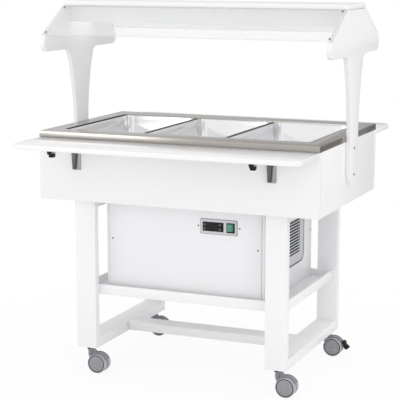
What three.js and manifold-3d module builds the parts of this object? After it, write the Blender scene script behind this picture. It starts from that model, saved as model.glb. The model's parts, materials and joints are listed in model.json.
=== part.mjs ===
import * as THREE from 'three';
import { mergeVertices } from 'three/addons/utils/BufferGeometryUtils.js';
import Module from 'manifold-3d';

const wasm = await Module();
wasm.setup();

// A refrigerated buffet trolley for three full-size food pans. Millimetres, +Z up,
// X along the length, the operator's side with the switch at -Y, and the origin on
// the floor under the middle.

// Clearances and finenesses
const fit = 0.3;
const overrun = 6;
const weld = 1e-4;
const cornerSteps = 5;
const edgeSteps = 2;
const curveSteps = 8;
const roundSides = 24;
const smallSides = 12;
const wheelSides = 32;
const pipeSides = 6;
const bendSteps = 3;

// Sheet, boards and pans
const boardThickness = 18;
const sheet = 1.5;
const panSheet = 1;
const panWidth = 325;
const panLength = 530;
const panDepth = 100;
const panFlange = 11;
const panDraft = 7;
const panCorner = 30;
const panFloorRadius = 12;
const panFlangeCorner = 12;
const panCount = 3;
const panGap = 3;
const wellMargin = 3;

// Well body and stainless rim
const rimTop = 940;
const rimEndBorder = 61.5;
const rimSideBorder = 87;
const foamUnder = 53.7;
const rimSkirt = 24;
const rimRecess = 4;
const ledgeWidth = 12;
const tankDepth = 180;
const tankCorner = 24;
const dividerFoot = 22;
const dividerHeight = 10;

// Drain spout and cooling coil under the tank
const drainBore = 24;
const drainWall = 3;
const drainInset = 21.5;
const drainDrop = 32;
const coilRadius = 5;
const coilRuns = 6;
const coilEndInset = 81.5;
const coilSideInset = 76;
const coilBend = 20;
const pipeDrop = 36;
const liquidInset = 30;
const pipeClearance = 3;

// Folding tray slides
const slideDepth = 218;
const slideGap = 2.5;
const slideThickness = 18;
const slideCorner = 40;
const slideInnerCorner = 6;
const slideEdge = 2.5;
const bracketInset = 167;
const bracketShift = -9;
const legPlateWidth = 34;
const legPlateThickness = 3;
const legPlateDrop = 5;
const legPlateHeight = 93;
const webShift = -6;
const webTopWidth = 22;
const webBottomWidth = 12;
const webProjection = 9;
const webDrop = 21;
const webHeight = 69;
const pivotOut = 15;
const pivotDrop = 13;
const pinRadius = 3;
const cheekThickness = 3;
const cheekRadius = 8;
const armWidth = 20;
const armHeight = 9;
const armLength = 190;
const armWall = 2;
const eyeRadius = 7;
const leverCapWidth = 16;
const leverCapThickness = 6;
const leverStripWidth = 12;
const leverStripThickness = 3;
const leverLength = 26;
const knobTopWidth = 21;
const knobBottomWidth = 17;
const knobHeight = 13;
const knobLength = 18;
const leverTravel = 6;
const pullRodWidth = 8;
const pullRodHeight = 4;
const pullRodRise = 2;
const pullRodGap = 8;

// Gantry
const gableThickness = 18;
const gableTopHalf = 115;
const lobeReach = 305;
const lobeRadius = 33.5;
const headDepth = 186;
const neckStart = 127;
const neckRadius = 36;
const postHalf = 48;
const postStraightRise = 45;
const taperPullY = 62;
const taperPullDrop = 102;
const postFootRise = 74;
const topShelfTop = 1418;
const topShelfThickness = 20;
const topShelfDepth = 240;
const topShelfOverhang = 2;
const topShelfCorner = 16;
const topShelfEdge = 7;
const housingDepth = 190;
const housingHeight = 61;
const housingLip = 12;
const lampRadius = 13;
const lampInset = 110;
const socketWidth = 34;
const socketLength = 22;
const lampDrop = 30;
const diffuserThickness = 3;
const screenThickness = 5;
const screenStart = 4;
const screenEnd = 201;

// Side frames, cross-bar and lower tray
const frameSetback = 36;
const legWidth = 82;
const legDepth = 28;
const footRailHeight = 38;
const headRailHeight = 28;
const barDepth = 80;
const barHeight = 34;
const trayBottom = 312;
const trayHeight = 38;
const trayFloor = 12;
const trayEdge = 10;
const trayInset = 16;

// Casters
const wheelDiameter = 75;
const wheelThickness = 22;
const wheelWeb = 8;
const wheelGap = 0.8;
const wheelChamfer = 3;
const hubRadius = 8;
const hubClearance = 0.5;
const casterNeckRise = 26.7;
const casterOffset = 35;
const casterInset = 33;
const neckDiameter = 20;
const neckLength = 33.7;
const stemDiameter = 10;
const stemLength = 24;
const flangeDiameter = 26;
const flangeHeight = 4;
const forkDiscInset = 2.5;
const hoodGap = 1.5;
const hoodThickness = 3;
const hoodWidth = 30;
const hoodStartAngle = Math.PI * 0.14;
const hoodEndAngle = Math.PI * 0.72;
const hoodSteps = 10;
const pedalWidth = 26;
const pedalHalfSeat = 8;
const pedalReach = 21;
const pedalDrop = 16;
const pedalThickness = 9;

// Machine housing, vent and controls
const coverWidth = 640;
const coverSetback = 57;
const coverEndGap = 24;
const coverFlange = 30;
const panelInset = 11;
const panelThickness = 2;
const ventWidth = 329;
const ventHeight = 255;
const ventShift = 10.5;
const ventDrop = 15.7;
const ventCorner = 33;
const ventThickness = 4;
const louvreCount = 14;
const louvrePitch = 11.5;
const louvreHeight = 6.5;
const louvreWidth = 227;
const louvreShift = -1;
const louvreRise = 43;
const glandRadius = 11;
const glandLength = 16;
const glandInset = 140;
const glandRise = 65.7;
const bezelInset = 179;
const bezelDrop = 74.7;
const bezelWidth = 144;
const bezelHeight = 54;
const bezelThickness = 3;
const bezelCorner = 7;
const displayShift = -22;
const displayWidth = 82;
const displayHeight = 34;
const displayBody = 58;
const displayProud = 2;
const switchShift = 48;
const switchWidth = 26;
const switchHeight = 31;
const switchWall = 3;
const switchProud = 2.5;
const switchClearance = 1.6;
const rockerDepth = 12;
const rockerMiddleProud = 1;
const rockerEndProud = 3;
const rockerPivotDepth = 5;
const rockerRearShare = 0.8;
const rockerTilt = Math.PI / 24;

// Cooling unit
const compressorInset = 200;
const compressorShift = 9.5;
const compressorRadius = 78;
const compressorHeight = 140;
const compressorDome = 40;
const compressorPlate = 4;
const compressorFoot = 14;
const compressorFootRadius = 12;
const condenserInset = 30;
const condenserThickness = 36;
const condenserWidth = 236;
const condenserHeight = 270;
const condenserFins = 22;
const finThickness = 3;
const finShell = 6;
const dischargeRise = 46;
const dischargeReach = 100;
const fanRadius = 84;
const fanHub = 24;
const fanHubLength = 22;
const fanBlades = 5;
const bladeThickness = 2;
const bladeWidth = 40;
const bladePitch = Math.PI / 7;
const fanGap = 14;
const motorRadius = 34;
const motorLength = 46;
const motorGap = 3;
const shaftRadius = 4;
const shaftReach = 14;
const pedestalWidth = 40;
const pedestalFootWidth = 90;
const pedestalPlate = 4;

// Colours and finishes
const material = (color, roughness, metalness, extra = {}) =>
  new THREE.MeshStandardMaterial({ color, roughness, metalness, ...extra });
const lacquer = material(0xf1f1f3, 0.32, 0);
const laminate = material(0xe9e9ea, 0.25, 0);
const paintedSheet = material(0xefeff2, 0.4, 0);
const stainless = material(0xb9b3ac, 0.25, 1);
const polished = material(0xd4d6d8, 0.12, 1);
const foam = material(0xe8dfb8, 0.9, 0);
const copper = material(0xb8734a, 0.35, 1);
const zinc = material(0x9a9ca0, 0.4, 1);
const blackPlastic = material(0x1c1d1f, 0.45, 0);
const blackEnamel = material(0x222325, 0.35, 0);
const greyPlastic = material(0x85878e, 0.5, 0);
const wheelGrey = material(0x96979c, 0.5, 0);
const ventGrey = material(0xc9cacd, 0.45, 0);
const bezelGrey = material(0xc6c8cb, 0.4, 0);
const rockerGreen = material(0x3f9f70, 0.35, 0);
const clearAcrylic = material(0xeef0f1, 0.08, 0, { transparent: true, opacity: 0.35 });
const opal = material(0xf7f7f4, 0.5, 0);
const lampWhite = material(0xffffff, 0.3, 0);

// Places that several pieces share
const openHalfX = (panCount * panWidth + (panCount - 1) * panGap) / 2 + wellMargin;
const openHalfY = panLength / 2 + wellMargin;
const halfWidth = openHalfX + rimEndBorder;
const halfDepth = openHalfY + rimSideBorder;
const panelTop = rimTop - rimSkirt - fit;
const ledgeTop = rimTop - rimRecess;
const panPitch = panWidth + panGap;
const tankHalfX = openHalfX - ledgeWidth;
const tankHalfY = openHalfY - ledgeWidth;
const tankTop = ledgeTop - sheet - fit;
const tankFloor = tankTop - tankDepth;
const bodyBottom = tankFloor - sheet - foamUnder - boardThickness;
const shelfUnder = topShelfTop - topShelfThickness;
const headBottom = topShelfTop - headDepth;
const casterHeight = wheelDiameter + casterNeckRise;
const frameBottom = casterHeight + fit;
const frameTop = bodyBottom - fit;
const coverHalf = coverWidth / 2;
const legInnerX = coverHalf + coverEndGap;
const frameHalfX = legInnerX + legWidth;
const frameHalfY = halfDepth - frameSetback;
const legInnerY = frameHalfY - legDepth;
const slideTop = rimTop - rimSkirt;
const slideUnder = slideTop - slideThickness;
const trayFloorTop = trayBottom + trayFloor;
const machineBase = trayFloorTop + fit;
const coverTop = frameTop;
const coverFront = coverSetback - frameHalfY;
const coverRear = legInnerY - fit - trayEdge - fit;
const ventMiddle = ventShift;
const ventTop = coverTop - ventDrop;
const ventBottom = ventTop - ventHeight;
const bezelX = coverHalf - bezelInset;
const bezelZ = coverTop - bezelDrop;
const displayX = bezelX + displayShift;
const switchX = bezelX + switchShift;

// Solids from three.js geometry
function solid(geometry) {
  const bare = geometry.clone();
  bare.deleteAttribute('normal');
  bare.deleteAttribute('uv');
  const merged = mergeVertices(bare, weld);
  const vertProperties = new Float32Array(merged.attributes.position.array);
  const triVerts = new Uint32Array(merged.index.array);
  return new wasm.Manifold(new wasm.Mesh({ numProp: 3, vertProperties, triVerts }));
}

function box(x0, x1, y0, y1, z0, z1) {
  const geometry = new THREE.BoxGeometry(x1 - x0, y1 - y0, z1 - z0);
  geometry.translate((x0 + x1) / 2, (y0 + y1) / 2, (z0 + z1) / 2);
  return solid(geometry);
}

function ring(outerX, outerY, innerX, innerY, z0, z1) {
  const outer = box(-outerX, outerX, -outerY, outerY, z0, z1);
  return outer.subtract(box(-innerX, innerX, -innerY, innerY, z0 - overrun, z1 + overrun));
}

// Local x, y and z of an outline extruded along each world axis
const axisFrames = {
  x: new THREE.Matrix4().makeBasis(
    new THREE.Vector3(0, 1, 0), new THREE.Vector3(0, 0, 1), new THREE.Vector3(1, 0, 0)),
  y: new THREE.Matrix4().makeBasis(
    new THREE.Vector3(1, 0, 0), new THREE.Vector3(0, 0, 1), new THREE.Vector3(0, -1, 0)),
  z: new THREE.Matrix4(),
};

// The outline is drawn in YZ for axis x, in XZ for axis y and in XY for axis z
function prism(axis, outline, from, to) {
  const points = Array.isArray(outline) ? outline.map(([a, b]) => new THREE.Vector2(a, b)) : null;
  const shape = points ? new THREE.Shape(points) : outline;
  const depth = to - from;
  const options = { depth, bevelEnabled: false, curveSegments: curveSteps };
  const geometry = new THREE.ExtrudeGeometry(shape, options);
  geometry.translate(0, 0, axis === 'y' ? -to : from);
  geometry.applyMatrix4(axisFrames[axis]);
  return solid(geometry);
}

// A polygon whose flats lie at the radius, with one flat facing down
function circle(a, b, radius, sides) {
  const reach = radius / Math.cos(Math.PI / sides);
  return Array.from({ length: sides }, (_, i) => {
    const angle = ((i + 0.5) / sides) * 2 * Math.PI;
    return [a + reach * Math.cos(angle), b + reach * Math.sin(angle)];
  });
}

function rod(axis, a, b, radius, from, to, sides = smallSides) {
  return prism(axis, circle(a, b, radius, sides), from, to);
}

function lathe(points, x, y, z) {
  const profile = points.map(([r, h]) => new THREE.Vector2(r, h));
  const geometry = new THREE.LatheGeometry(profile, roundSides);
  geometry.rotateX(Math.PI / 2);
  geometry.translate(x, y, z);
  return solid(geometry);
}

// A closed skin over rings of points: the first and the last ring are capped
function skin(rings) {
  const count = rings[0].length;
  const positions = rings.flat(2);
  const index = [];
  for (let r = 0; r < rings.length - 1; r += 1) {
    for (let i = 0; i < count; i += 1) {
      const j = (i + 1) % count;
      const below = r * count;
      const above = below + count;
      index.push(below + i, below + j, above + j, below + i, above + j, above + i);
    }
  }
  const last = (rings.length - 1) * count;
  for (let i = 1; i < count - 1; i += 1) {
    index.push(0, i + 1, i, last, last + i, last + i + 1);
  }
  const geometry = new THREE.BufferGeometry();
  geometry.setAttribute('position', new THREE.Float32BufferAttribute(positions, 3));
  geometry.setIndex(index);
  return solid(geometry);
}

// A level ring of points round a rectangle whose corners have their own radii,
// taken from the corner at the lowest X and Y anticlockwise
function rectRing(x0, x1, y0, y1, radii, z, inset = 0) {
  const corners = [[x0, y0, 1, 1, 2], [x1, y0, -1, 1, 3], [x1, y1, -1, -1, 0], [x0, y1, 1, -1, 1]];
  return corners.flatMap(([x, y, sx, sy, quarter], k) => {
    const radius = radii[k];
    return Array.from({ length: cornerSteps + 1 }, (_, i) => {
      const angle = (quarter + i / cornerSteps) * Math.PI / 2;
      const reach = radius - inset;
      const [dx, dy] = [reach * Math.cos(angle), reach * Math.sin(angle)];
      return [x + sx * radius + dx, y + sy * radius + dy, z];
    });
  });
}

// A slab with rounded corners in plan and rounded edges
function slab(x0, x1, y0, y1, z0, z1, radii, edge) {
  const lower = [];
  for (let i = edgeSteps; i >= 0; i -= 1) {
    const angle = (i / edgeSteps) * (Math.PI / 2);
    const z = z0 + edge * (1 - Math.sin(angle));
    lower.push(rectRing(x0, x1, y0, y1, radii, z, edge * (1 - Math.cos(angle))));
  }
  const flip = ([x, y, z]) => [x, y, z0 + z1 - z];
  const upper = lower.map((points) => points.map(flip)).reverse();
  return skin([...lower, ...upper]);
}

// The points of a bent rod: straight runs joined by bends of one radius
function bentPath(corners, bend) {
  const points = corners.map((corner) => new THREE.Vector3(...corner));
  const path = [points[0]];
  for (let i = 1; i < points.length - 1; i += 1) {
    const before = points[i - 1].clone().sub(points[i]).normalize();
    const after = points[i + 1].clone().sub(points[i]).normalize();
    const half = before.angleTo(after) / 2;
    const reach = bend / Math.tan(half);
    const middle = before.clone().add(after).normalize();
    const centre = middle.multiplyScalar(bend / Math.sin(half)).add(points[i]);
    const start = before.multiplyScalar(reach).add(points[i]).sub(centre);
    const end = after.multiplyScalar(reach).add(points[i]).sub(centre);
    const turn = new THREE.Quaternion();
    turn.setFromUnitVectors(start.clone().normalize(), end.clone().normalize());
    for (let k = 0; k <= bendSteps; k += 1) {
      const part = new THREE.Quaternion().slerp(turn, k / bendSteps);
      path.push(start.clone().applyQuaternion(part).add(centre));
    }
  }
  path.push(points[points.length - 1]);
  return path;
}

// A solid round tube along a bent path
function pipe(corners, bend, radius) {
  const path = bentPath(corners, bend);
  const rings = [];
  let side = null;
  let before = null;
  for (let i = 0; i < path.length; i += 1) {
    const at = Math.min(i, path.length - 2);
    const ahead = path[at + 1].clone().sub(path[at]).normalize();
    const along = before ? before.clone().add(ahead).normalize() : ahead.clone();
    if (!side) {
      side = new THREE.Vector3(0, 0, 1).cross(along);
      if (side.lengthSq() < weld) side = new THREE.Vector3(1, 0, 0);
    }
    side.addScaledVector(along, -side.dot(along)).normalize();
    const up = along.clone().cross(side);
    rings.push(Array.from({ length: pipeSides }, (_, k) => {
      const angle = (k / pipeSides) * 2 * Math.PI;
      const offset = side.clone().multiplyScalar(Math.cos(angle)).addScaledVector(up, Math.sin(angle));
      return path[i].clone().addScaledVector(offset, radius).toArray();
    }));
    before = ahead;
  }
  return skin(rings);
}

// Named pieces of the trolley
const trolley = new THREE.Group();

function add(name, body, finish, parent = trolley) {
  const { vertProperties, triVerts } = body.getMesh();
  const geometry = new THREE.BufferGeometry();
  geometry.setAttribute('position', new THREE.BufferAttribute(new Float32Array(vertProperties), 3));
  geometry.setIndex(new THREE.BufferAttribute(new Uint32Array(triVerts), 1));
  geometry.computeVertexNormals();
  const mesh = new THREE.Mesh(geometry, finish);
  mesh.name = name;
  parent.add(mesh);
}

const ends = [['left', -1], ['right', 1]];
const faces = [['front', -1], ['rear', 1]];

// A box given for the right and rear quarter, mirrored by side and face
function sidedBox(side, x0, x1, y0, y1, z0, z1) {
  return side > 0 ? box(x0, x1, y0, y1, z0, z1) : box(-x1, -x0, y0, y1, z0, z1);
}

function facedBox(face, x0, x1, y0, y1, z0, z1) {
  return face > 0 ? box(x0, x1, y0, y1, z0, z1) : box(x0, x1, -y1, -y0, z0, z1);
}

// Outer boards of the well
const boardInnerX = halfWidth - boardThickness - fit;
const boardInnerY = halfDepth - boardThickness - fit;
for (const [name, face] of faces) {
  const y = halfDepth - boardThickness;
  add(`${name}_panel`, facedBox(face, -halfWidth, halfWidth, y, halfDepth, bodyBottom, panelTop), lacquer);
}
for (const [name, side] of ends) {
  const x = halfWidth - boardThickness;
  add(`${name}_end_panel`, sidedBox(side, x, halfWidth, -boardInnerY, boardInnerY, bodyBottom, panelTop), lacquer);
}

// Cooling coil under the tank, with its two pipes down into the machine
const coilZ = tankFloor - sheet - fit - coilRadius;
const coilHalfLength = tankHalfX - coilEndInset;
const coilFirstY = coilSideInset - tankHalfY;
const coilPitch = -2 * coilFirstY / (coilRuns - 1);
const pipeLevel = bodyBottom - pipeDrop;
const compressorX = compressorInset - coverHalf;
const compressorY = ventMiddle + compressorShift;
const condenserX = coverHalf - condenserInset;
const suctionX = compressorX;
const liquidX = condenserX;
const suctionY = coilFirstY;
const liquidY = -coilFirstY;
const compressorTop = machineBase + compressorFoot + compressorPlate + compressorHeight + compressorDome;
const condenserY = ventMiddle;
const condenserTop = machineBase + condenserHeight;
function coolingCoil(radius) {
  const corners = [
    [suctionX, compressorY, compressorTop + fit],
    [suctionX, compressorY, pipeLevel],
    [suctionX, suctionY, pipeLevel],
    [suctionX, suctionY, coilZ],
  ];
  for (let run = 0; run < coilRuns; run += 1) {
    const y = coilFirstY + run * coilPitch;
    const from = run % 2 ? coilHalfLength : -coilHalfLength;
    if (run > 0) corners.push([from, y, coilZ]);
    if (run < coilRuns - 1) corners.push([-from, y, coilZ]);
  }
  const outletY = condenserY + condenserWidth / 2 - liquidInset;
  corners.push([liquidX, liquidY, coilZ], [liquidX, liquidY, pipeLevel]);
  corners.push([liquidX, outletY, pipeLevel], [liquidX, outletY, condenserTop + fit]);
  return pipe(corners, coilBend, radius);
}
add('cooling_coil', coolingCoil(coilRadius), copper);

// Stainless tank with a drain spout through the bottom board
const drainX = drainInset - tankHalfX;
function tank() {
  const flangeX = openHalfX;
  const flangeY = openHalfY;
  const wallX = tankHalfX + sheet;
  const wallY = tankHalfY + sheet;
  const level = (x, y, radius, z) => rectRing(-x, x, -y, y, Array(ends.length * faces.length).fill(radius), z);
  const outer = tankCorner + sheet;
  const shell = skin([
    level(wallX, wallY, outer, tankFloor - sheet),
    level(wallX, wallY, outer, tankTop - sheet),
    level(flangeX, flangeY, outer, tankTop - sheet),
    level(flangeX, flangeY, outer, tankTop),
    level(tankHalfX, tankHalfY, tankCorner, tankTop),
    level(tankHalfX, tankHalfY, tankCorner, tankFloor),
  ]);
  const spoutEnd = bodyBottom - drainDrop;
  const spout = rod('z', drainX, 0, drainBore / 2 + drainWall, spoutEnd, tankFloor - sheet / 2);
  const bore = rod('z', drainX, 0, drainBore / 2, spoutEnd - overrun, tankFloor + overrun);
  return shell.add(spout).subtract(bore);
}
add('tank', tank(), stainless);

// Holes through the bottom board and the foam for the spout and the two pipes
function passages(z0, z1) {
  const spoutHole = rod('z', drainX, 0, drainBore / 2 + drainWall + pipeClearance, z0, z1);
  return spoutHole.add(coolingCoil(coilRadius + pipeClearance));
}
const bottomTop = bodyBottom + boardThickness;
const bottomPanel = box(-boardInnerX, boardInnerX, -boardInnerY, boardInnerY, bodyBottom, bottomTop);
add('bottom_panel', bottomPanel.subtract(passages(bodyBottom - overrun, bottomTop + overrun)), lacquer);

// Foam between the tank and the boards
function insulation() {
  const under = bottomTop + fit;
  const over = rimTop - sheet - fit;
  const block = box(-boardInnerX + fit, boardInnerX - fit, -boardInnerY + fit, boardInnerY - fit, under, over);
  const wallX = tankHalfX + sheet + fit;
  const wallY = tankHalfY + sheet + fit;
  const well = box(-wallX, wallX, -wallY, wallY, tankFloor - sheet - fit, over + overrun);
  const stepX = openHalfX + sheet + fit;
  const stepY = openHalfY + sheet + fit;
  const step = box(-stepX, stepX, -stepY, stepY, tankTop - sheet - fit, over + overrun);
  const coilX = coilHalfLength + coilRadius + pipeClearance;
  const coilY = -coilFirstY + coilRadius + pipeClearance;
  const tray = box(-coilX, coilX, -coilY, coilY, coilZ - coilRadius - fit, tankFloor);
  return block.subtract(well).subtract(step).subtract(tray).subtract(passages(under - overrun, tankFloor));
}
add('insulation', insulation(), foam);

// Stainless rim with a folded skirt and the ledge that the pans hang on
function rimFrame() {
  const top = ring(halfWidth, halfDepth, openHalfX, openHalfY, rimTop - sheet, rimTop);
  const skirt = ring(halfWidth, halfDepth, halfWidth - sheet, halfDepth - sheet, rimTop - rimSkirt, rimTop);
  const stepX = openHalfX + sheet;
  const stepY = openHalfY + sheet;
  const step = ring(stepX, stepY, openHalfX, openHalfY, ledgeTop - sheet, rimTop);
  const ledge = ring(stepX, stepY, tankHalfX, tankHalfY, ledgeTop - sheet, ledgeTop);
  return top.add(skirt).add(step).add(ledge);
}

// Bars between the pans: a foot under two flanges and a rib between them
const flangeUnder = ledgeTop + fit;
const flangeTop = flangeUnder + panSheet;
function dividerBar(x) {
  const endY = tankHalfY - fit;
  const foot = box(x - dividerFoot / 2, x + dividerFoot / 2, -endY, endY, ledgeTop - dividerHeight, ledgeTop);
  const ribHalf = panGap / 2 - fit;
  const rib = box(x - ribHalf, x + ribHalf, -endY, endY, ledgeTop - dividerHeight / 2, flangeTop);
  return foot.add(rib);
}
add('rim_frame', rimFrame(), stainless);
for (const [name, side] of ends) {
  add(`${name}_divider_bar`, dividerBar(side * panPitch / 2), stainless);
}

// Food pans: a flange, drafted walls and a rounded floor
function pan(x) {
  const halfX = panWidth / 2;
  const halfY = panLength / 2;
  const floor = flangeTop - panDepth;
  const level = (inset, radius, z) => rectRing(x - halfX + inset, x + halfX - inset, -halfY + inset,
    halfY - inset, Array(ends.length * faces.length).fill(radius), z);
  const mouth = panFlange;
  const foot = panFlange + panDraft;
  const curve = Array.from({ length: bendSteps }, (_, i) => (i / bendSteps) * (Math.PI / 2));
  const inner = (angle) => level(foot + panFloorRadius * (1 - Math.cos(angle)), panCorner,
    floor + panFloorRadius * (1 - Math.sin(angle)));
  const outer = (angle) => level(foot - panSheet + panFloorRadius * (1 - Math.cos(angle)), panCorner + panSheet,
    floor - panSheet + panFloorRadius * (1 - Math.sin(angle)));
  const flat = Math.PI / 2;
  return skin([
    outer(flat),
    ...curve.map(outer).reverse(),
    level(mouth - panSheet, panCorner + panSheet, flangeUnder),
    level(0, panFlangeCorner, flangeUnder),
    level(0, panFlangeCorner, flangeTop),
    level(mouth, panCorner, flangeTop),
    ...curve.map(inner),
    inner(flat),
  ]);
}
['left', 'middle', 'right'].forEach((name, i) => {
  add(`${name}_pan`, pan((i - (panCount - 1) / 2) * panPitch), polished);
});

// The slanted front edge of a gable runs from the top shelf to the front lobe
const lobeCentre = new THREE.Vector2(lobeRadius - lobeReach, headBottom + lobeRadius);
const slantStart = new THREE.Vector2(-gableTopHalf, shelfUnder - fit);
const toLobe = lobeCentre.clone().sub(slantStart);
const slantAngle = toLobe.angle() - Math.asin(lobeRadius / toLobe.length());
const slantAlong = new THREE.Vector2(Math.cos(slantAngle), Math.sin(slantAngle));
const slantOut = new THREE.Vector2(slantAlong.y, -slantAlong.x);

// Gantry gables: a head with two lobes on a post with a rounded foot
const taperPullZ = headBottom - taperPullDrop;
const postStraightTop = rimTop + postStraightRise;
const postBottom = bodyBottom + postFootRise;
function gableOutline() {
  const meet = slantAngle - Math.PI / 2;
  const shape = new THREE.Shape();
  shape.moveTo(-slantStart.x, slantStart.y);
  shape.lineTo(slantStart.x, slantStart.y);
  shape.absarc(lobeCentre.x, lobeCentre.y, lobeRadius, meet, Math.PI * 1.5, false);
  shape.absarc(-neckStart, headBottom - neckRadius, neckRadius, Math.PI / 2, 0, true);
  shape.quadraticCurveTo(-taperPullY, taperPullZ, -postHalf, postStraightTop);
  shape.absarc(0, postBottom + postHalf, postHalf, Math.PI, Math.PI * 2, false);
  shape.lineTo(postHalf, postStraightTop);
  shape.quadraticCurveTo(taperPullY, taperPullZ, neckStart - neckRadius, headBottom - neckRadius);
  shape.absarc(neckStart, headBottom - neckRadius, neckRadius, Math.PI, Math.PI / 2, true);
  shape.absarc(-lobeCentre.x, lobeCentre.y, lobeRadius, -Math.PI / 2, Math.PI - meet, false);
  return shape;
}
const gableInner = halfWidth + fit;
const gableOuter = gableInner + gableThickness;
add('left_gable', prism('x', gableOutline(), -gableOuter, -gableInner), lacquer);
add('right_gable', prism('x', gableOutline(), gableInner, gableOuter), lacquer);

const topHalfX = gableOuter + topShelfOverhang;
const topHalfY = topShelfDepth / 2;
const evenCorners = (radius) => Array(ends.length * faces.length).fill(radius);
add('top_shelf', slab(-topHalfX, topHalfX, -topHalfY, topHalfY, shelfUnder, topShelfTop,
  evenCorners(topShelfCorner), topShelfEdge), lacquer);

// Light housing under the top shelf: a channel with two lips for the diffuser
const housingTop = shelfUnder - fit;
const housingBottom = housingTop - housingHeight;
function lightHousing() {
  const half = housingDepth / 2;
  const web = half - sheet;
  const lip = half - housingLip;
  const lipTop = housingBottom + sheet;
  const ceiling = housingTop - sheet;
  const outline = [
    [-half, housingBottom], [-lip, housingBottom], [-lip, lipTop], [-web, lipTop],
    [-web, ceiling], [web, ceiling], [web, lipTop], [lip, lipTop],
    [lip, housingBottom], [half, housingBottom], [half, housingTop], [-half, housingTop],
  ];
  return prism('x', outline, -halfWidth, halfWidth);
}
add('light_housing', lightHousing(), lacquer);

// Lamp tube in its two sockets
function lampTube() {
  const reach = halfWidth - lampInset;
  const z = housingTop - lampDrop;
  const ceiling = housingTop - sheet - fit;
  const tube = rod('x', 0, z, lampRadius, -reach, reach, roundSides);
  const socket = (x0) => box(x0, x0 + socketLength, -socketWidth / 2, socketWidth / 2, z - lampRadius, ceiling);
  return tube.add(socket(-reach)).add(socket(reach - socketLength));
}
add('lamp_tube', lampTube(), lampWhite);

const diffuserHalf = housingDepth / 2 - sheet - fit;
const diffuserBottom = housingBottom + sheet + fit;
add('diffuser', box(-halfWidth, halfWidth, -diffuserHalf, diffuserHalf,
  diffuserBottom, diffuserBottom + diffuserThickness), opal);

// Breath screens on the slanted edges of the gables
function screen(face) {
  const inner = fit;
  const outer = fit + screenThickness;
  const corners = [[screenStart, inner], [screenStart, outer], [screenEnd, outer], [screenEnd, inner]];
  const outline = corners.map(([along, out]) => {
    const point = slantStart.clone().addScaledVector(slantAlong, along).addScaledVector(slantOut, out);
    return [-face * point.x, point.y];
  });
  return prism('x', outline, -gableOuter, gableOuter);
}
for (const [name, face] of faces) {
  add(`${name}_screen`, screen(face), clearAcrylic);
}

// Folding tray slides, drawn on the front and turned about Z for the rear
const pivotY = -halfDepth - pivotOut;
const pivotZ = slideUnder - pivotDrop;
const armTop = slideUnder - fit;
const armUnder = armTop - armHeight;
const armEnd = pivotY - armLength;

function slideBoard() {
  const inner = -halfDepth - slideGap;
  const radii = [slideCorner, slideCorner, slideInnerCorner, slideInnerCorner];
  return slab(-halfWidth, halfWidth, inner - slideDepth, inner, slideUnder, slideTop, radii, slideEdge);
}

// Wall leg: a plate with a tapered web, two cheeks and the hinge pin between them
const legPlateTop = slideUnder - legPlateDrop;
const legPlateBottom = legPlateTop - legPlateHeight;
const webTop = legPlateTop - webDrop;
const webBottom = webTop - webHeight;
function wallLeg(x) {
  const plateBack = -halfDepth - fit;
  const plateFront = plateBack - legPlateThickness;
  const half = legPlateWidth / 2;
  const plate = box(x - half, x + half, plateFront, plateBack, legPlateBottom, legPlateTop);
  const middle = x + webShift;
  const outline = [
    [middle - webTopWidth / 2, webTop], [middle + webTopWidth / 2, webTop],
    [middle + webBottomWidth / 2, webBottom], [middle - webBottomWidth / 2, webBottom],
  ];
  const web = prism('y', outline, plateFront - webProjection, plateFront + legPlateThickness / 2);
  const cheekInner = armWidth / 2 + fit;
  const cheekOuter = cheekInner + cheekThickness;
  const cheek = (from) => {
    const disc = rod('x', pivotY, pivotZ, cheekRadius, from, from + cheekThickness);
    const root = box(from, from + cheekThickness, pivotY, plateBack, pivotZ - cheekRadius, pivotZ + cheekRadius);
    return disc.add(root);
  };
  const pin = rod('x', pivotY, pivotZ, pinRadius, x - cheekOuter, x + cheekOuter);
  return plate.add(web).add(cheek(x - cheekOuter)).add(cheek(x + cheekInner)).add(pin);
}

// Folding arm: a channel under the board with an eye on the pin
function foldingArm(x) {
  const half = armWidth / 2;
  const channel = box(x - half, x + half, armEnd, pivotY, armUnder, armTop);
  const hollow = box(x - half + armWall, x + half - armWall, armEnd + armWall, pivotY - eyeRadius - armWall,
    armUnder - overrun, armTop - armWall);
  const eye = rod('x', pivotY, pivotZ, eyeRadius, x - half, x + half);
  const hole = rod('x', pivotY, pivotZ, pinRadius + fit, x - half - overrun, x + half + overrun);
  return channel.subtract(hollow).add(eye).subtract(hole);
}

// Release lever: a cap before the arm's end, a strip under the arm, a tapered knob and the
// pull rod inside the arm that draws the hinge's catch
function releaseLever(x) {
  const top = armUnder - fit;
  const under = top - leverStripThickness;
  const capBack = armEnd - fit;
  const capFront = capBack - leverCapThickness;
  const rear = armEnd + leverLength;
  const cap = box(x - leverCapWidth / 2, x + leverCapWidth / 2, capFront, capBack, under, armTop - fit);
  const strip = box(x - leverStripWidth / 2, x + leverStripWidth / 2, capFront, rear, under, top);
  const outline = [
    [x - knobTopWidth / 2, under], [x + knobTopWidth / 2, under],
    [x + knobBottomWidth / 2, under - knobHeight], [x - knobBottomWidth / 2, under - knobHeight],
  ];
  const knob = prism('y', outline, rear - knobLength, rear);
  const rodHalf = pullRodWidth / 2;
  const rodUnder = armUnder + pullRodRise;
  const rodTop = rodUnder + pullRodHeight;
  const rodRear = pivotY - eyeRadius - pullRodGap;
  const riserFront = armEnd + armWall + leverTravel + fit;
  const riser = box(x - rodHalf, x + rodHalf, riserFront, rear, under, rodTop);
  const pullRod = box(x - rodHalf, x + rodHalf, riserFront, rodRear, rodUnder, rodTop);
  return cap.add(strip).add(knob).add(riser).add(pullRod);
}

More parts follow.
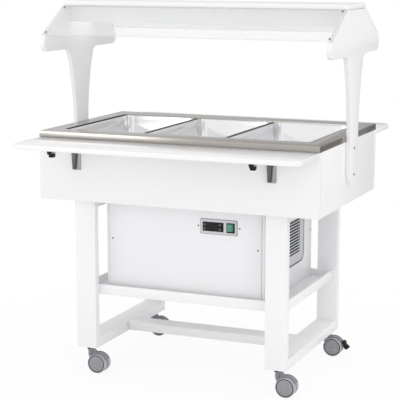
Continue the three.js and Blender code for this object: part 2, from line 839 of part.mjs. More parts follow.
for (const [name, face] of faces) {
  const group = new THREE.Group();
  group.rotation.z = face < 0 ? 0 : Math.PI;
  trolley.add(group);
  add(`${name}_tray_slide`, slideBoard(), laminate, group);
  for (const [end, side] of ends) {
    const x = bracketShift - side * face * (halfWidth - bracketInset);
    add(`${name}_${end}_wall_leg`, wallLeg(x), zinc, group);
    add(`${name}_${end}_folding_arm`, foldingArm(x), zinc, group);
    add(`${name}_${end}_release_lever`, releaseLever(x), blackPlastic, group);
  }
}

// Side frames with bores for the caster stems, and the bar between them
const footRailTop = frameBottom + footRailHeight;
const stemX = frameHalfX - legWidth / 2;
const stemY = frameHalfY - casterInset;
function sideFrame(side) {
  const outer = sidedBox(side, legInnerX, frameHalfX, -frameHalfY, frameHalfY, frameBottom, frameTop);
  const gap = sidedBox(side, legInnerX - overrun, frameHalfX + overrun, -legInnerY, legInnerY,
    footRailTop, frameTop - headRailHeight);
  let frame = outer.subtract(gap);
  for (const [, face] of faces) {
    const bore = rod('z', side * stemX, face * stemY, stemDiameter / 2 + fit,
      frameBottom - overrun, frameBottom + stemLength);
    frame = frame.subtract(bore);
  }
  return frame;
}
for (const [name, side] of ends) {
  add(`${name}_side_frame`, sideFrame(side), lacquer);
}
const barHalfX = legInnerX - fit;
const crossBar = box(-barHalfX, barHalfX, -barDepth / 2, barDepth / 2, footRailTop - barHeight, footRailTop);
add('cross_bar', crossBar, lacquer);

function lowerTray() {
  const halfY = legInnerY - fit;
  const halfX = frameHalfX - trayInset;
  const outer = box(-halfX, halfX, -halfY, halfY, trayBottom, trayBottom + trayHeight);
  const innerX = halfX - trayEdge;
  const innerY = halfY - trayEdge;
  return outer.subtract(box(-innerX, innerX, -innerY, innerY, trayFloorTop, trayBottom + trayHeight + overrun));
}
add('lower_tray', lowerTray(), lacquer);

// Casters: a swivelling fork, a twin wheel that trails to +X and, at the rear, a brake pedal
const axleZ = wheelDiameter / 2;
const forkDiscRadius = axleZ - forkDiscInset;
const hoodRadius = axleZ + hoodGap;
const neckBottom = casterHeight - neckLength;
const wheelInner = wheelWeb / 2 + wheelGap;
const wheelOuter = wheelInner + wheelThickness;

function casterFork(x, y) {
  const wheelX = x + casterOffset;
  const neckHalf = neckDiameter / 2;
  const stem = rod('z', x, y, stemDiameter / 2, casterHeight - flangeHeight, casterHeight + stemLength - fit);
  const flange = rod('z', x, y, flangeDiameter / 2, casterHeight - flangeHeight, casterHeight);
  const neck = rod('z', x, y, neckHalf, neckBottom, casterHeight - flangeHeight / 2);
  const disc = rod('y', wheelX, axleZ, forkDiscRadius, y - wheelWeb / 2, y + wheelWeb / 2, roundSides);
  const bridge = prism('y', [
    [x - neckHalf, neckBottom], [wheelX - forkDiscRadius, axleZ], [wheelX, axleZ],
    [wheelX, axleZ + forkDiscRadius],
    [x + neckHalf, casterHeight - flangeHeight], [x - neckHalf, casterHeight - flangeHeight],
  ], y - wheelWeb / 2, y + wheelWeb / 2);
  const arc = (radius, reverse) => Array.from({ length: hoodSteps + 1 }, (_, i) => {
    const share = (reverse ? hoodSteps - i : i) / hoodSteps;
    const angle = hoodStartAngle + (hoodEndAngle - hoodStartAngle) * share;
    return [wheelX + radius * Math.cos(angle), axleZ + radius * Math.sin(angle)];
  });
  const hoodOutline = [...arc(hoodRadius + hoodThickness, false), ...arc(hoodRadius, true)];
  const hood = prism('y', hoodOutline, y - hoodWidth / 2, y + hoodWidth / 2);
  const hubHole = rod('y', wheelX, axleZ, hubRadius + hubClearance, y - wheelWeb, y + wheelWeb);
  return stem.add(flange).add(neck).add(disc).add(bridge).add(hood).subtract(hubHole);
}

function twinWheel(x, y) {
  const wheelX = x + casterOffset;
  const radius = wheelDiameter / 2;
  const level = (r, at) => circle(wheelX, axleZ, r, wheelSides).map(([a, b]) => [a, at, b]);
  const disc = (y0, y1) => skin([
    level(radius - wheelChamfer, y1), level(radius, y1 - wheelChamfer),
    level(radius, y0 + wheelChamfer), level(radius - wheelChamfer, y0),
  ]);
  const hub = rod('y', wheelX, axleZ, hubRadius, y - wheelInner - wheelChamfer, y + wheelInner + wheelChamfer);
  return disc(y - wheelOuter, y - wheelInner).add(disc(y + wheelInner, y + wheelOuter)).add(hub);
}

// The pedal's flat seat lies on the end of the hood and its toe reaches out and down
const pedalSeatRadius = hoodRadius + hoodThickness + fit;
function brakePedal(x, y) {
  const seat = new THREE.Vector2(Math.cos(hoodStartAngle), Math.sin(hoodStartAngle));
  const along = new THREE.Vector2(-seat.y, seat.x);
  const point = (out, up) => seat.clone().multiplyScalar(pedalSeatRadius + out).addScaledVector(along, up);
  const upper = point(0, pedalHalfSeat);
  const lower = point(0, -pedalHalfSeat);
  const toe = lower.clone().add(new THREE.Vector2(pedalReach, -pedalDrop));
  const tip = toe.clone().add(new THREE.Vector2(pedalThickness / 2, pedalThickness));
  const crown = upper.clone().add(new THREE.Vector2(pedalThickness, 0));
  const wheelCentre = new THREE.Vector2(x + casterOffset, axleZ);
  const outline = [upper, lower, toe, tip, crown].map((corner) => corner.add(wheelCentre).toArray());
  return prism('y', outline, y - pedalWidth / 2, y + pedalWidth / 2);
}

for (const [name, face] of faces) {
  for (const [end, side] of ends) {
    const x = side * stemX;
    const y = face * stemY;
    add(`${name}_${end}_caster_fork`, casterFork(x, y), greyPlastic);
    add(`${name}_${end}_twin_wheel`, twinWheel(x, y), wheelGrey);
    if (face > 0) add(`${name}_${end}_brake_pedal`, brakePedal(x, y), blackPlastic);
  }
}

// Machine housing: a sheet cover open above and below, with a gland in its rear wall
const louvreFront = ventMiddle + louvreShift - louvreWidth / 2;
const louvreRear = louvreFront + louvreWidth;
const louvreBottom = ventBottom + louvreRise;
const louvreTop = louvreBottom + (louvreCount - 1) * louvrePitch + louvreHeight;
const glandX = glandInset - coverHalf;
const glandZ = machineBase + glandRise;
function machineCover() {
  const inner = coverHalf - sheet;
  const outerBox = box(-coverHalf, coverHalf, coverFront, coverRear, machineBase, coverTop);
  const innerBox = box(-inner, inner, coverFront + sheet, coverRear - sheet,
    machineBase - overrun, coverTop + overrun);
  const opening = coverHalf - coverFlange;
  const doorway = box(-opening, opening, coverFront - overrun, coverFront + sheet + overrun,
    machineBase - overrun, coverTop + overrun);
  const airway = box(inner - overrun, coverHalf + overrun, louvreFront, louvreRear, louvreBottom, louvreTop);
  const gland = rod('y', glandX, glandZ, glandRadius, coverRear - sheet, coverRear + glandLength);
  const cableHole = rod('y', glandX, glandZ, glandRadius / 2, coverRear - overrun, coverRear + glandLength + overrun);
  return outerBox.subtract(innerBox).subtract(doorway).subtract(airway).add(gland).subtract(cableHole);
}
add('machine_cover', machineCover(), paintedSheet);

// A rounded upright outline in the plane of a wall
function roundedOutline(a0, a1, b0, b1, radius) {
  return rectRing(a0, a1, b0, b1, evenCorners(radius), 0).map(([a, b]) => [a, b]);
}

function ventGrille() {
  const from = coverHalf + fit;
  const ventFront = ventMiddle - ventWidth / 2;
  const outline = roundedOutline(ventFront, ventFront + ventWidth, ventBottom, ventTop, ventCorner);
  let grille = prism('x', outline, from, from + ventThickness);
  for (let i = 0; i < louvreCount; i += 1) {
    const z = louvreBottom + i * louvrePitch;
    const slot = box(from - overrun, from + ventThickness + overrun, louvreFront, louvreRear, z, z + louvreHeight);
    grille = grille.subtract(slot);
  }
  return grille;
}
add('vent_grille', ventGrille(), ventGrey);

// Front service panel with the two holes behind the control bezel
const panelBack = coverFront - fit;
const panelFront = panelBack - panelThickness;
const bezelBack = panelFront - fit;
const bezelFront = bezelBack - bezelThickness;
function servicePanel() {
  const half = coverHalf - panelInset;
  const plate = box(-half, half, panelFront, panelBack, machineBase, coverTop);
  const cutout = (x, width, height) => box(x - width / 2 - fit, x + width / 2 + fit,
    panelFront - overrun, panelBack + overrun, bezelZ - height / 2 - fit, bezelZ + height / 2 + fit);
  const displayHole = cutout(displayX, displayWidth, displayHeight);
  return plate.subtract(displayHole).subtract(cutout(switchX, switchWidth, switchHeight));
}
add('service_panel', servicePanel(), paintedSheet);

function controlBezel() {
  const halfX = bezelWidth / 2;
  const halfZ = bezelHeight / 2;
  const outline = roundedOutline(bezelX - halfX, bezelX + halfX, bezelZ - halfZ, bezelZ + halfZ, bezelCorner);
  const plate = prism('y', outline, bezelFront, bezelBack);
  const wellX = switchWidth / 2;
  const wellZ = switchHeight / 2;
  const collarX = wellX + switchWall;
  const collarZ = wellZ + switchWall;
  const collar = box(switchX - collarX, switchX + collarX, bezelFront - switchProud, bezelBack,
    bezelZ - collarZ, bezelZ + collarZ);
  const well = box(switchX - wellX, switchX + wellX, bezelFront - overrun, bezelBack + overrun,
    bezelZ - wellZ, bezelZ + wellZ);
  const windowX = displayWidth / 2 + fit;
  const windowZ = displayHeight / 2 + fit;
  const window = box(displayX - windowX, displayX + windowX, bezelFront - overrun, bezelBack + overrun,
    bezelZ - windowZ, bezelZ + windowZ);
  return plate.add(collar).subtract(well).subtract(window);
}
add('control_bezel', controlBezel(), bezelGrey);
add('temperature_controller', box(displayX - displayWidth / 2, displayX + displayWidth / 2,
  bezelFront - displayProud, bezelFront + displayBody,
  bezelZ - displayHeight / 2, bezelZ + displayHeight / 2), blackPlastic);

// Rocker of the main switch, resting with its upper half pressed
function switchRocker() {
  const collarFront = bezelFront - switchProud;
  const pivot = new THREE.Vector2(collarFront + rockerPivotDepth, bezelZ);
  const half = switchHeight / 2 - switchClearance;
  const rear = half * rockerRearShare;
  const outline = [
    [collarFront - rockerEndProud, half], [collarFront - rockerMiddleProud, 0], [collarFront - rockerEndProud, -half],
    [collarFront + rockerDepth, -rear], [collarFront + rockerDepth, rear],
  ].map(([y, z]) => new THREE.Vector2(y, bezelZ + z).rotateAround(pivot, -rockerTilt).toArray());
  const halfX = switchWidth / 2 - fit;
  return prism('x', outline, switchX - halfX, switchX + halfX);
}
add('switch_rocker', switchRocker(), rockerGreen);

// Compressor on a base plate with four feet
function compressor() {
  const plateBottom = machineBase + compressorFoot;
  const canBottom = plateBottom + compressorPlate;
  const r = compressorRadius;
  const h = compressorHeight;
  const profile = [[0, 0], [r, 0], [r, h]];
  for (let i = 1; i < bendSteps; i += 1) {
    const angle = (i / bendSteps) * (Math.PI / 2);
    profile.push([r * Math.cos(angle), h + compressorDome * Math.sin(angle)]);
  }
  profile.push([0, h + compressorDome]);
  let body = lathe(profile, compressorX, compressorY, canBottom - compressorPlate / 2);
  body = body.add(box(compressorX - r, compressorX + r, compressorY - r, compressorY + r, plateBottom, canBottom));
  for (const [, side] of ends) {
    for (const [, face] of faces) {
      const footX = compressorX + side * (r - compressorFootRadius);
      const footY = compressorY + face * (r - compressorFootRadius);
      body = body.add(rod('z', footX, footY, compressorFootRadius, machineBase, canBottom - compressorPlate / 2));
    }
  }
  return body;
}
add('compressor', compressor(), blackEnamel);

// Finned condenser with the discharge pipe from the compressor
const condenserBack = condenserX - condenserThickness / 2;
function condenser() {
  const half = condenserWidth / 2;
  let block = box(condenserBack, condenserBack + condenserThickness, condenserY - half, condenserY + half,
    machineBase, condenserTop);
  const inside = condenserWidth - 2 * finShell;
  const pitch = (inside - finThickness) / condenserFins;
  for (let i = 0; i < condenserFins; i += 1) {
    const y0 = condenserY - half + finShell + i * pitch;
    block = block.subtract(box(condenserBack - overrun, condenserBack + condenserThickness + overrun,
      y0, y0 + pitch - finThickness, machineBase + finShell, condenserTop - finShell));
  }
  const z = machineBase + compressorFoot + dischargeRise;
  const pipeY = condenserY + half - finShell / 2;
  const start = compressorX + compressorRadius + fit;
  const turnX = start + dischargeReach;
  const discharge = pipe([[start, compressorY, z], [turnX, compressorY, z], [turnX, pipeY, z],
    [condenserBack + finShell, pipeY, z]], coilBend, coilRadius);
  return block.add(discharge);
}
add('condenser', condenser(), blackEnamel);

// Fan behind the condenser, on the shaft of a motor that stands on a pedestal
const fanX = condenserBack - fanGap;
const fanZ = machineBase + condenserHeight / 2;
const hubBack = fanX - fanHubLength / 2;
function fan() {
  let rotor = rod('x', condenserY, fanZ, fanHub, hubBack, hubBack + fanHubLength, roundSides);
  const blade = new THREE.BoxGeometry(bladeThickness, bladeWidth, fanRadius);
  blade.translate(0, 0, fanRadius / 2);
  blade.rotateZ(bladePitch);
  for (let i = 0; i < fanBlades; i += 1) {
    const turned = blade.clone();
    turned.rotateX((i / fanBlades) * 2 * Math.PI);
    turned.translate(fanX, condenserY, fanZ);
    rotor = rotor.add(solid(turned));
  }
  const bore = rod('x', condenserY, fanZ, shaftRadius + fit, hubBack - overrun, hubBack + shaftReach + fit);
  return rotor.subtract(bore);
}
add('condenser_fan', fan(), blackPlastic);

function fanMotor() {
  const front = hubBack - motorGap;
  const back = front - motorLength;
  const can = rod('x', condenserY, fanZ, motorRadius, back, front, roundSides);
  const shaft = rod('x', condenserY, fanZ, shaftRadius, back, hubBack + shaftReach);
  const post = box(back, front, condenserY - pedestalWidth / 2, condenserY + pedestalWidth / 2, machineBase, fanZ);
  const foot = box(back, front, condenserY - pedestalFootWidth / 2, condenserY + pedestalFootWidth / 2,
    machineBase, machineBase + pedestalPlate);
  return can.add(shaft).add(post).add(foot);
}
add('fan_motor', fanMotor(), zinc);

export default trolley;
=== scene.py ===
import json
import math

import bmesh
import bpy
from mathutils import Matrix, Vector


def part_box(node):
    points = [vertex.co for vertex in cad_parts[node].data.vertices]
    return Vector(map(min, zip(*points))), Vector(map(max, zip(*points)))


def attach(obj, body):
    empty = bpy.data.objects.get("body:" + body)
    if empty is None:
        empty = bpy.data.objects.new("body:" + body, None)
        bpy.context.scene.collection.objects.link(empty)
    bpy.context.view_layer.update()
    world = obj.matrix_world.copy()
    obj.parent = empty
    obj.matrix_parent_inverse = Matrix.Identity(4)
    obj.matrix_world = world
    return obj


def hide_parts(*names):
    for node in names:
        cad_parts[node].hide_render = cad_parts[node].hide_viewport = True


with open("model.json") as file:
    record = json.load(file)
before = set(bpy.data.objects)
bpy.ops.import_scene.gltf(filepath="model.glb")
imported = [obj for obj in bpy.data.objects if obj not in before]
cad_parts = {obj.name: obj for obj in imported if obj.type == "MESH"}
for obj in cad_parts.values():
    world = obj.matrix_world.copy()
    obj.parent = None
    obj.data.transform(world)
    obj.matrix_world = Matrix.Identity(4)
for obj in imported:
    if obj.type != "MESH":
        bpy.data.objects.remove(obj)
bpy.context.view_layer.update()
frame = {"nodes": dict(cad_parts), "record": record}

# Finishes and fine pieces of the refrigerated trolley, in metres
MM = 0.001
WELD = 0.01 * MM
SIDES = (("left", -1), ("right", 1))
FACES = (("front", -1), ("rear", 1))
record = frame["record"]
body_of = {node: body for body, members in record["behaviour"]["bodies"].items() for node in members}


# Shader maths
class Signal:
    """A shader node's output. Sums, products and comparisons of signals add Math nodes."""

    def __init__(self, paint, socket):
        self.paint = paint
        self.socket = socket

    def math(self, operation, first, second=0.0):
        return self.paint.node("ShaderNodeMath", {"operation": operation}, {0: first, 1: second})

    def __add__(self, other):
        return self.math("ADD", self, other)

    def __radd__(self, other):
        return self.math("ADD", other, self)

    def __sub__(self, other):
        return self.math("SUBTRACT", self, other)

    def __rsub__(self, other):
        return self.math("SUBTRACT", other, self)

    def __mul__(self, other):
        return self.math("MULTIPLY", self, other)

    def __rmul__(self, other):
        return self.math("MULTIPLY", other, self)

    def __gt__(self, other):
        return self.math("GREATER_THAN", self, other)

    def __lt__(self, other):
        return self.math("LESS_THAN", self, other)

    def __abs__(self):
        return self.math("ABSOLUTE", self)


class Paint:
    """The nodes of a material or of the world."""

    def __init__(self, owner):
        owner.use_nodes = True
        self.owner = owner
        self.tree = owner.node_tree
        self.tree.nodes.clear()

    def node(self, kind, settings=None, inputs=None, output=0):
        made = self.tree.nodes.new(kind)
        for name, value in (settings or {}).items():
            setattr(made, name, value)
        for name, value in (inputs or {}).items():
            if isinstance(value, Signal):
                self.tree.links.new(value.socket, made.inputs[name])
            else:
                made.inputs[name].default_value = value
        return Signal(self, made.outputs[output]) if len(made.outputs) else None

    def place(self, stretch=(1, 1, 1)):
        where = self.node("ShaderNodeTexCoord", output=3)
        return self.node("ShaderNodeMapping", None, {"Vector": where, "Scale": stretch})

    def axis(self, index):
        where = self.node("ShaderNodeTexCoord", output=3)
        return self.node("ShaderNodeSeparateXYZ", None, {0: where}, output=index)

    def noise(self, scale, detail=2.0, stretch=(1, 1, 1)):
        inputs = {"Vector": self.place(stretch), "Scale": scale, "Detail": detail, "Roughness": 0.55}
        return self.node("ShaderNodeTexNoise", None, inputs)

    def cells(self, scale):
        return self.node("ShaderNodeTexVoronoi", None, {"Vector": self.place(), "Scale": scale})

    def between(self, value, low, high, to_low, to_high):
        inputs = {0: value, 1: low, 2: high, 3: to_low, 4: to_high}
        return self.node("ShaderNodeMapRange", None, inputs)

    def tint(self, mask, low, high):
        colours = {0: mask}
        for name, value in ((6, low), (7, high)):
            colours[name] = value if isinstance(value, Signal) else (*value, 1)
        return self.node("ShaderNodeMix", {"data_type": "RGBA"}, colours, output=2)

    def finish(self, colour, roughness, metallic=0.0, height=None, depth=0.1, strength=0.3, **plain):
        inputs = {"Base Color": colour, "Roughness": roughness, "Metallic": metallic}
        inputs.update({name.replace("_", " "): value for name, value in plain.items()})
        if height is not None:
            bump = {"Height": height, "Distance": depth * MM, "Strength": strength}
            inputs["Normal"] = self.node("ShaderNodeBump", None, bump)
        shader = self.node("ShaderNodeBsdfPrincipled", None, inputs)
        return self.surface(shader)

    def surface(self, shader):
        self.node("ShaderNodeOutputMaterial", None, {"Surface": shader})
        return self.owner


def new_paint(name):
    return Paint(bpy.data.materials.new(name))


def shaded(colour, share):
    return tuple(channel * share for channel in colour)


# A sprayed, moulded or laminated skin: slow drift in colour, fine grain, worn patches in the gloss
def coated(name, colour, roughness, grain, depth, drift=0.02, coat=0.0, shine=0.5):
    paint = new_paint(name)
    slow = paint.noise(2.3, 3.0)
    colours = paint.tint(slow, shaded(colour, 1 - drift), shaded(colour, 1 + drift))
    gloss = roughness + 0.05 * (paint.noise(9.0, 4.0) - 0.5)
    return paint.finish(colours, gloss, height=paint.noise(grain), depth=depth, strength=0.35,
                        Coat_Weight=coat, Coat_Roughness=0.12, Specular_IOR_Level=shine)


# A metal with fine streaks along the brushing and a mottled gloss
def brushed(name, colour, roughness, stretch, drift=0.05):
    paint = new_paint(name)
    streaks = paint.noise(60.0, 4.0, stretch)
    patches = paint.noise(5.0, 3.0)
    colours = paint.tint(streaks, shaded(colour, 1 - drift), shaded(colour, 1 + drift))
    gloss = roughness + 0.12 * (streaks - 0.5) + 0.08 * (patches - 0.5)
    return paint.finish(colours, gloss, metallic=1.0, height=streaks, depth=0.02, strength=0.4)


# Rim steel: each border is brushed along its own length up to a ground mitre seam at the corner
def rim_steel_finish():
    steel = (0.44, 0.412, 0.385)
    seam_half = 0.5 * MM
    low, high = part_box("rim_frame")
    length, width, _ = high - low
    paint = new_paint("rim_steel")
    across = abs(paint.axis(0)) - abs(paint.axis(1)) - (length - width) / 2
    on_ends = across > 0.0
    long_streaks = paint.noise(420.0, 3.0, (0.008, 1, 1))
    short_streaks = paint.noise(420.0, 3.0, (1, 0.008, 1))
    streaks = long_streaks + on_ends * (short_streaks - long_streaks)
    drift = paint.noise(7.0, 3.0, (0.3, 1, 1))
    seam = abs(across) < seam_half
    colours = paint.tint(streaks, shaded(steel, 0.9), shaded(steel, 1.1))
    colours = paint.tint(seam * 0.5, colours, shaded(steel, 0.45))
    gloss = 0.2 + 0.1 * (streaks - 0.5) + 0.1 * (drift - 0.5)
    return paint.finish(colours, gloss, metallic=1.0, height=streaks, depth=0.06, strength=0.6)


# Deep-drawn pan steel: nearly a mirror, with faint drawing marks and soft waves
def pan_steel_finish():
    paint = new_paint("pan_steel")
    waves = paint.noise(14.0)
    marks = paint.noise(220.0, 2.0, (0.05, 1, 1))
    colours = paint.tint(waves, (0.80, 0.80, 0.81), (0.88, 0.88, 0.89))
    gloss = 0.12 + 0.08 * (marks - 0.5)
    height = waves + 0.05 * marks
    return paint.finish(colours, gloss, metallic=1.0, height=height, depth=0.9, strength=0.35)


# Sprayed foam: cells of all sizes in a dull yellow
def foam_finish():
    paint = new_paint("sprayed_foam")
    pores = paint.cells(260.0)
    lumps = paint.noise(40.0, 4.0)
    colours = paint.tint(lumps, (0.72, 0.60, 0.33), (0.88, 0.79, 0.52))
    return paint.finish(colours, roughness=0.9, height=pores + lumps, depth=1.2, strength=0.8)


# Clear sheet of the breath screens, with faint smears in its gloss and its body
def clear_sheet(name, colour, alpha):
    paint = new_paint(name)
    smears = paint.noise(6.0, 5.0, (1, 0.4, 1))
    clear = alpha + 0.05 * (smears - 0.5)
    gloss = 0.04 + 0.06 * smears
    colours = paint.tint(smears, shaded(colour, 0.97), colour)
    return paint.finish(colours, gloss, Alpha=clear, IOR=1.49)


# Opal diffuser with fine prisms along its length, softly lit from inside
def opal_finish():
    lamp_glow = 0.95
    paint = new_paint("opal_prisms")
    inputs = {"Vector": paint.place(), "Scale": 90.0}
    ribs = paint.node("ShaderNodeTexWave", {"bands_direction": "Y"}, inputs)
    colours = paint.tint(ribs, (0.80, 0.80, 0.78), (0.9, 0.9, 0.88))
    gloss = 0.45 + 0.1 * ribs
    return paint.finish(colours, gloss, height=ribs, depth=0.4, strength=0.5, Subsurface_Weight=0.2,
                        Emission_Color=(1.0, 0.98, 0.94, 1), Emission_Strength=lamp_glow)


# Condenser fins: dark painted aluminium with dusty leading edges
def fin_finish():
    paint = new_paint("dusty_fins")
    dust = paint.noise(35.0, 6.0)
    colours = paint.tint(dust, (0.03, 0.03, 0.032), (0.16, 0.15, 0.14))
    gloss = 0.5 + 0.4 * dust
    return paint.finish(colours, gloss, metallic=0.3, height=dust, depth=0.2, strength=0.5)


# Open-celled black foam of the dust filter
def filter_finish():
    paint = new_paint("filter_foam")
    pores = paint.cells(700.0)
    dust = paint.noise(25.0, 4.0)
    colours = paint.tint(dust, (0.012, 0.012, 0.012), (0.03, 0.029, 0.027))
    return paint.finish(colours, roughness=0.95, height=pores, depth=0.8, strength=0.8)


# Green lens of the rocker, black on its side towards +X
def rocker_finish():
    side_width = 3 * MM
    paint = new_paint("rocker_green")
    dye = paint.noise(180.0)
    on_right_side = paint.axis(0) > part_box("switch_rocker")[1].x - side_width
    colours = paint.tint(dye, (0.045, 0.235, 0.135), (0.055, 0.275, 0.16))
    colours = paint.tint(on_right_side, colours, (0.01, 0.01, 0.01))
    gloss = 0.28 + 0.1 * dye
    return paint.finish(colours, gloss, height=paint.noise(900.0), depth=0.03, Coat_Weight=0.2)


# Finishes: name, colour, roughness, grain per metre and depth of the grain in millimetres
lacquer = coated("white_lacquer", (0.875, 0.875, 0.885), 0.34, 420, 0.03)
laminate = coated("gloss_laminate_skin", (0.88, 0.88, 0.89), 0.17, 300, 0.01, coat=0.2)
bright_powder = coated("gantry_powder_coat", (0.91, 0.91, 0.92), 0.38, 1400, 0.06)
powder = coated("powder_coat", (0.85, 0.85, 0.865), 0.42, 1400, 0.06)
black_plastic = coated("black_lever_plastic", (0.01, 0.01, 0.011), 0.42, 1800, 0.06, drift=0.1, shine=0.22)
black_enamel = coated("compressor_enamel", (0.02, 0.02, 0.022), 0.25, 300, 0.08, drift=0.1, coat=0.5)
fork_plastic = coated("caster_fork_plastic", (0.27, 0.275, 0.30), 0.42, 1500, 0.06, drift=0.05)
tread_plastic = coated("tread_plastic", (0.45, 0.455, 0.48), 0.5, 1500, 0.05, drift=0.04)
ring_plastic = coated("ring_plastic", (0.05, 0.053, 0.068), 0.42, 1500, 0.05, drift=0.06, shine=0.3)
disc_plastic = coated("disc_plastic", (0.29, 0.29, 0.31), 0.38, 1500, 0.06, drift=0.05)
vent_plastic = coated("vent_grille_plastic", (0.55, 0.56, 0.575), 0.45, 1500, 0.05, drift=0.03)
bezel_plastic = coated("bezel_plastic_grey", (0.60, 0.60, 0.62), 0.36, 1500, 0.04, drift=0.03)
# Near-black rubber; it also paints the shade in the vent slots, round the vent grille and beside the outer
# pans
painted_shade_rubber = coated("painted_shade_rubber", (0.025, 0.025, 0.027), 0.7, 900, 0.05, drift=0.1)
bezel_rubber = coated("bezel_rubber", (0.10, 0.10, 0.105), 0.6, 900, 0.05, drift=0.1)
# Mid-grey for the strips beside the service panel: painted shadow in the seam
seam_shade_grey = coated("painted_seam_shade", (0.50, 0.50, 0.51), 0.6, 900, 0.05, drift=0.05)
display_glass = coated("display_glass", (0.008, 0.007, 0.008), 0.12, 300, 0.01, drift=0.1, shine=0.3)
key_foil = coated("key_foil", (0.15, 0.15, 0.155), 0.45, 1500, 0.05, drift=0.1, shine=0.3)
lamp_glass = coated("lamp_glass", (0.9, 0.9, 0.9), 0.2, 200, 0.01, drift=0.03, coat=0.4)
casing = coated("motor_casing_paint", (0.30, 0.31, 0.32), 0.4, 700, 0.1, drift=0.08)
tank_steel = brushed("tank_steel", (0.55, 0.53, 0.50), 0.3, (1, 0.03, 1))
# Dark steel of the strips on the divider bars: painted shade
shadow_line_steel = brushed("shadow_line_steel", (0.18, 0.17, 0.16), 0.35, (1, 0.01, 1), 0.15)
zinc = brushed("zinc_plate", (0.42, 0.43, 0.44), 0.38, (1, 1, 0.1), 0.14)
# Darker zinc for the webs of the wall legs: painted shade
painted_shade_zinc = brushed("zinc_in_painted_shade", (0.13, 0.13, 0.132), 0.42, (1, 1, 0.1), 0.2)
screw_steel = brushed("blackened_screws", (0.045, 0.045, 0.05), 0.45, (1, 1, 1), 0.2)
copper = brushed("copper_pipe", (0.62, 0.34, 0.20), 0.34, (1, 1, 1), 0.2)
screen_glass = clear_sheet("screen_glass", (0.86, 0.872, 0.872), 0.27)
screen_edge = clear_sheet("screen_edge", (0.76, 0.80, 0.80), 0.42)
rim_steel = rim_steel_finish()
pan_steel = pan_steel_finish()
foam = foam_finish()
opal = opal_finish()
fins = fin_finish()
filter_foam = filter_finish()
rocker_green = rocker_finish()

# Meshes
FLAT_ANGLE = math.radians(0.5)
UPRIGHT = Matrix.Identity(3)
LEVEL = Matrix(((1, 0, 0), (0, 0, 1), (0, 1, 0)))


def box_mesh(low, high):
    low = Vector(low)
    size = Vector(high) - low
    place = Matrix.Translation(low + size / 2) @ Matrix.Diagonal((*size, 1))
    made = bmesh.new()
    bmesh.ops.create_cube(made, size=1, matrix=place)
    return made


def copy_of(node):
    made = bmesh.new()
    made.from_mesh(frame["nodes"][node].data)
    bmesh.ops.remove_doubles(made, verts=made.verts, dist=WELD)
    bmesh.ops.dissolve_limit(made, angle_limit=FLAT_ANGLE, verts=made.verts, edges=made.edges)
    return made


def ease(made, edges, radius, segments=2):
    bmesh.ops.bevel(made, geom=edges, offset=radius, offset_type="OFFSET", segments=segments,
                    profile=0.5, affect="EDGES", clamp_overlap=True, material=-1)


def sharp_edges(made, degrees=35):
    limit = math.radians(degrees)
    return [edge for edge in made.edges if len(edge.link_faces) == 2 and edge.calc_face_angle() > limit]


def edges_along(made, axis, wanted=lambda middle: True):
    found = []
    for edge in made.edges:
        start, stop = (vert.co for vert in edge.verts)
        run = stop - start
        if abs(run[axis]) > 0.999 * run.length and wanted((start + stop) / 2):
            found.append(edge)
    return found


def is_level(edge):
    return abs(edge.verts[0].co.z - edge.verts[1].co.z) < WELD


# A finished piece that rides on the body of the node that it belongs to
def piece(name, made, near, *paints, crease=35):
    mesh = bpy.data.meshes.new(name)
    made.to_mesh(mesh)
    made.free()
    for paint in paints:
        mesh.materials.append(paint)
    mesh.shade_smooth()
    mesh.set_sharp_from_angle(angle=math.radians(crease))
    shown = bpy.data.objects.new(name, mesh)
    bpy.context.scene.collection.objects.link(shown)
    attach(shown, body_of[near])
    return shown


def stand_for(node, made, *paints, crease=35):
    shown = piece(f"fine_{node}", made, node, *paints, crease=crease)
    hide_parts(node)
    return shown


def eased(node, radius, paint, segments=2):
    made = copy_of(node)
    ease(made, sharp_edges(made), radius, segments)
    return stand_for(node, made, paint)


def repainted(node, paint):
    materials = frame["nodes"][node].data.materials
    materials.clear()
    materials.append(paint)


def middle_of(node):
    low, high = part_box(node)
    return (low + high) / 2


def face_at(node, axis, way):
    low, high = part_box(node)
    return high[axis] if way > 0 else low[axis]


# The two corners of a node's box, widened by a margin across an axis, with a new span along it
def spanned(node, axis, start, stop, margin):
    corners = []
    for corner, end, way in zip(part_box(node), (start, stop), (-1, 1)):
        moved = [value + way * margin for value in corner]
        moved[axis] = end
        corners.append(Vector(moved))
    return corners


# A closed shape turned from an outline of (radius, height) about an upright or a level axis
def turned(made, outline, centre, axis, segments):
    seat = Vector(centre)
    points = [made.verts.new(axis @ Vector((radius, 0, height)) + seat) for radius, height in outline]
    lines = [made.edges.new(pair) for pair in zip(points, points[1:])]
    bmesh.ops.spin(made, geom=points + lines, cent=centre, axis=axis @ Vector((0, 0, 1)),
                   angle=2 * math.pi, steps=segments, use_merge=True, use_duplicate=False)
    bmesh.ops.remove_doubles(made, verts=made.verts, dist=WELD)
    bmesh.ops.recalc_face_normals(made, faces=made.faces)


# A domed screw head with a hexagonal socket, in shares of its radius and rise
SOCKET_SHARE = 0.42
screw_shares = [(0, 0.3), (SOCKET_SHARE, 0.3), (SOCKET_SHARE, 0.97), (0.62, 1), (0.88, 0.72),
                (1, 0.25), (1, 0), (0, 0)]


def screw(name, at, toward, size, near, paint=screw_steel):
    radius, rise = size
    socket = SOCKET_SHARE * radius
    made = bmesh.new()
    outline = [(across * radius, up * rise) for across, up in screw_shares]
    turned(made, outline, (0, 0, 0), UPRIGHT, segments=24)
    for vert in made.verts:
        if abs(vert.co.xy.length - socket) < WELD:
            around = math.atan2(vert.co.y, vert.co.x) % (math.pi / 3) - math.pi / 6
            vert.co.xy *= math.cos(math.pi / 6) / math.cos(around)
    seat = Vector((0, 0, 1)).rotation_difference(Vector(toward)).to_matrix().to_4x4()
    bmesh.ops.transform(made, matrix=Matrix.Translation(at) @ seat, verts=made.verts)
    return piece(name, made, near, paint)


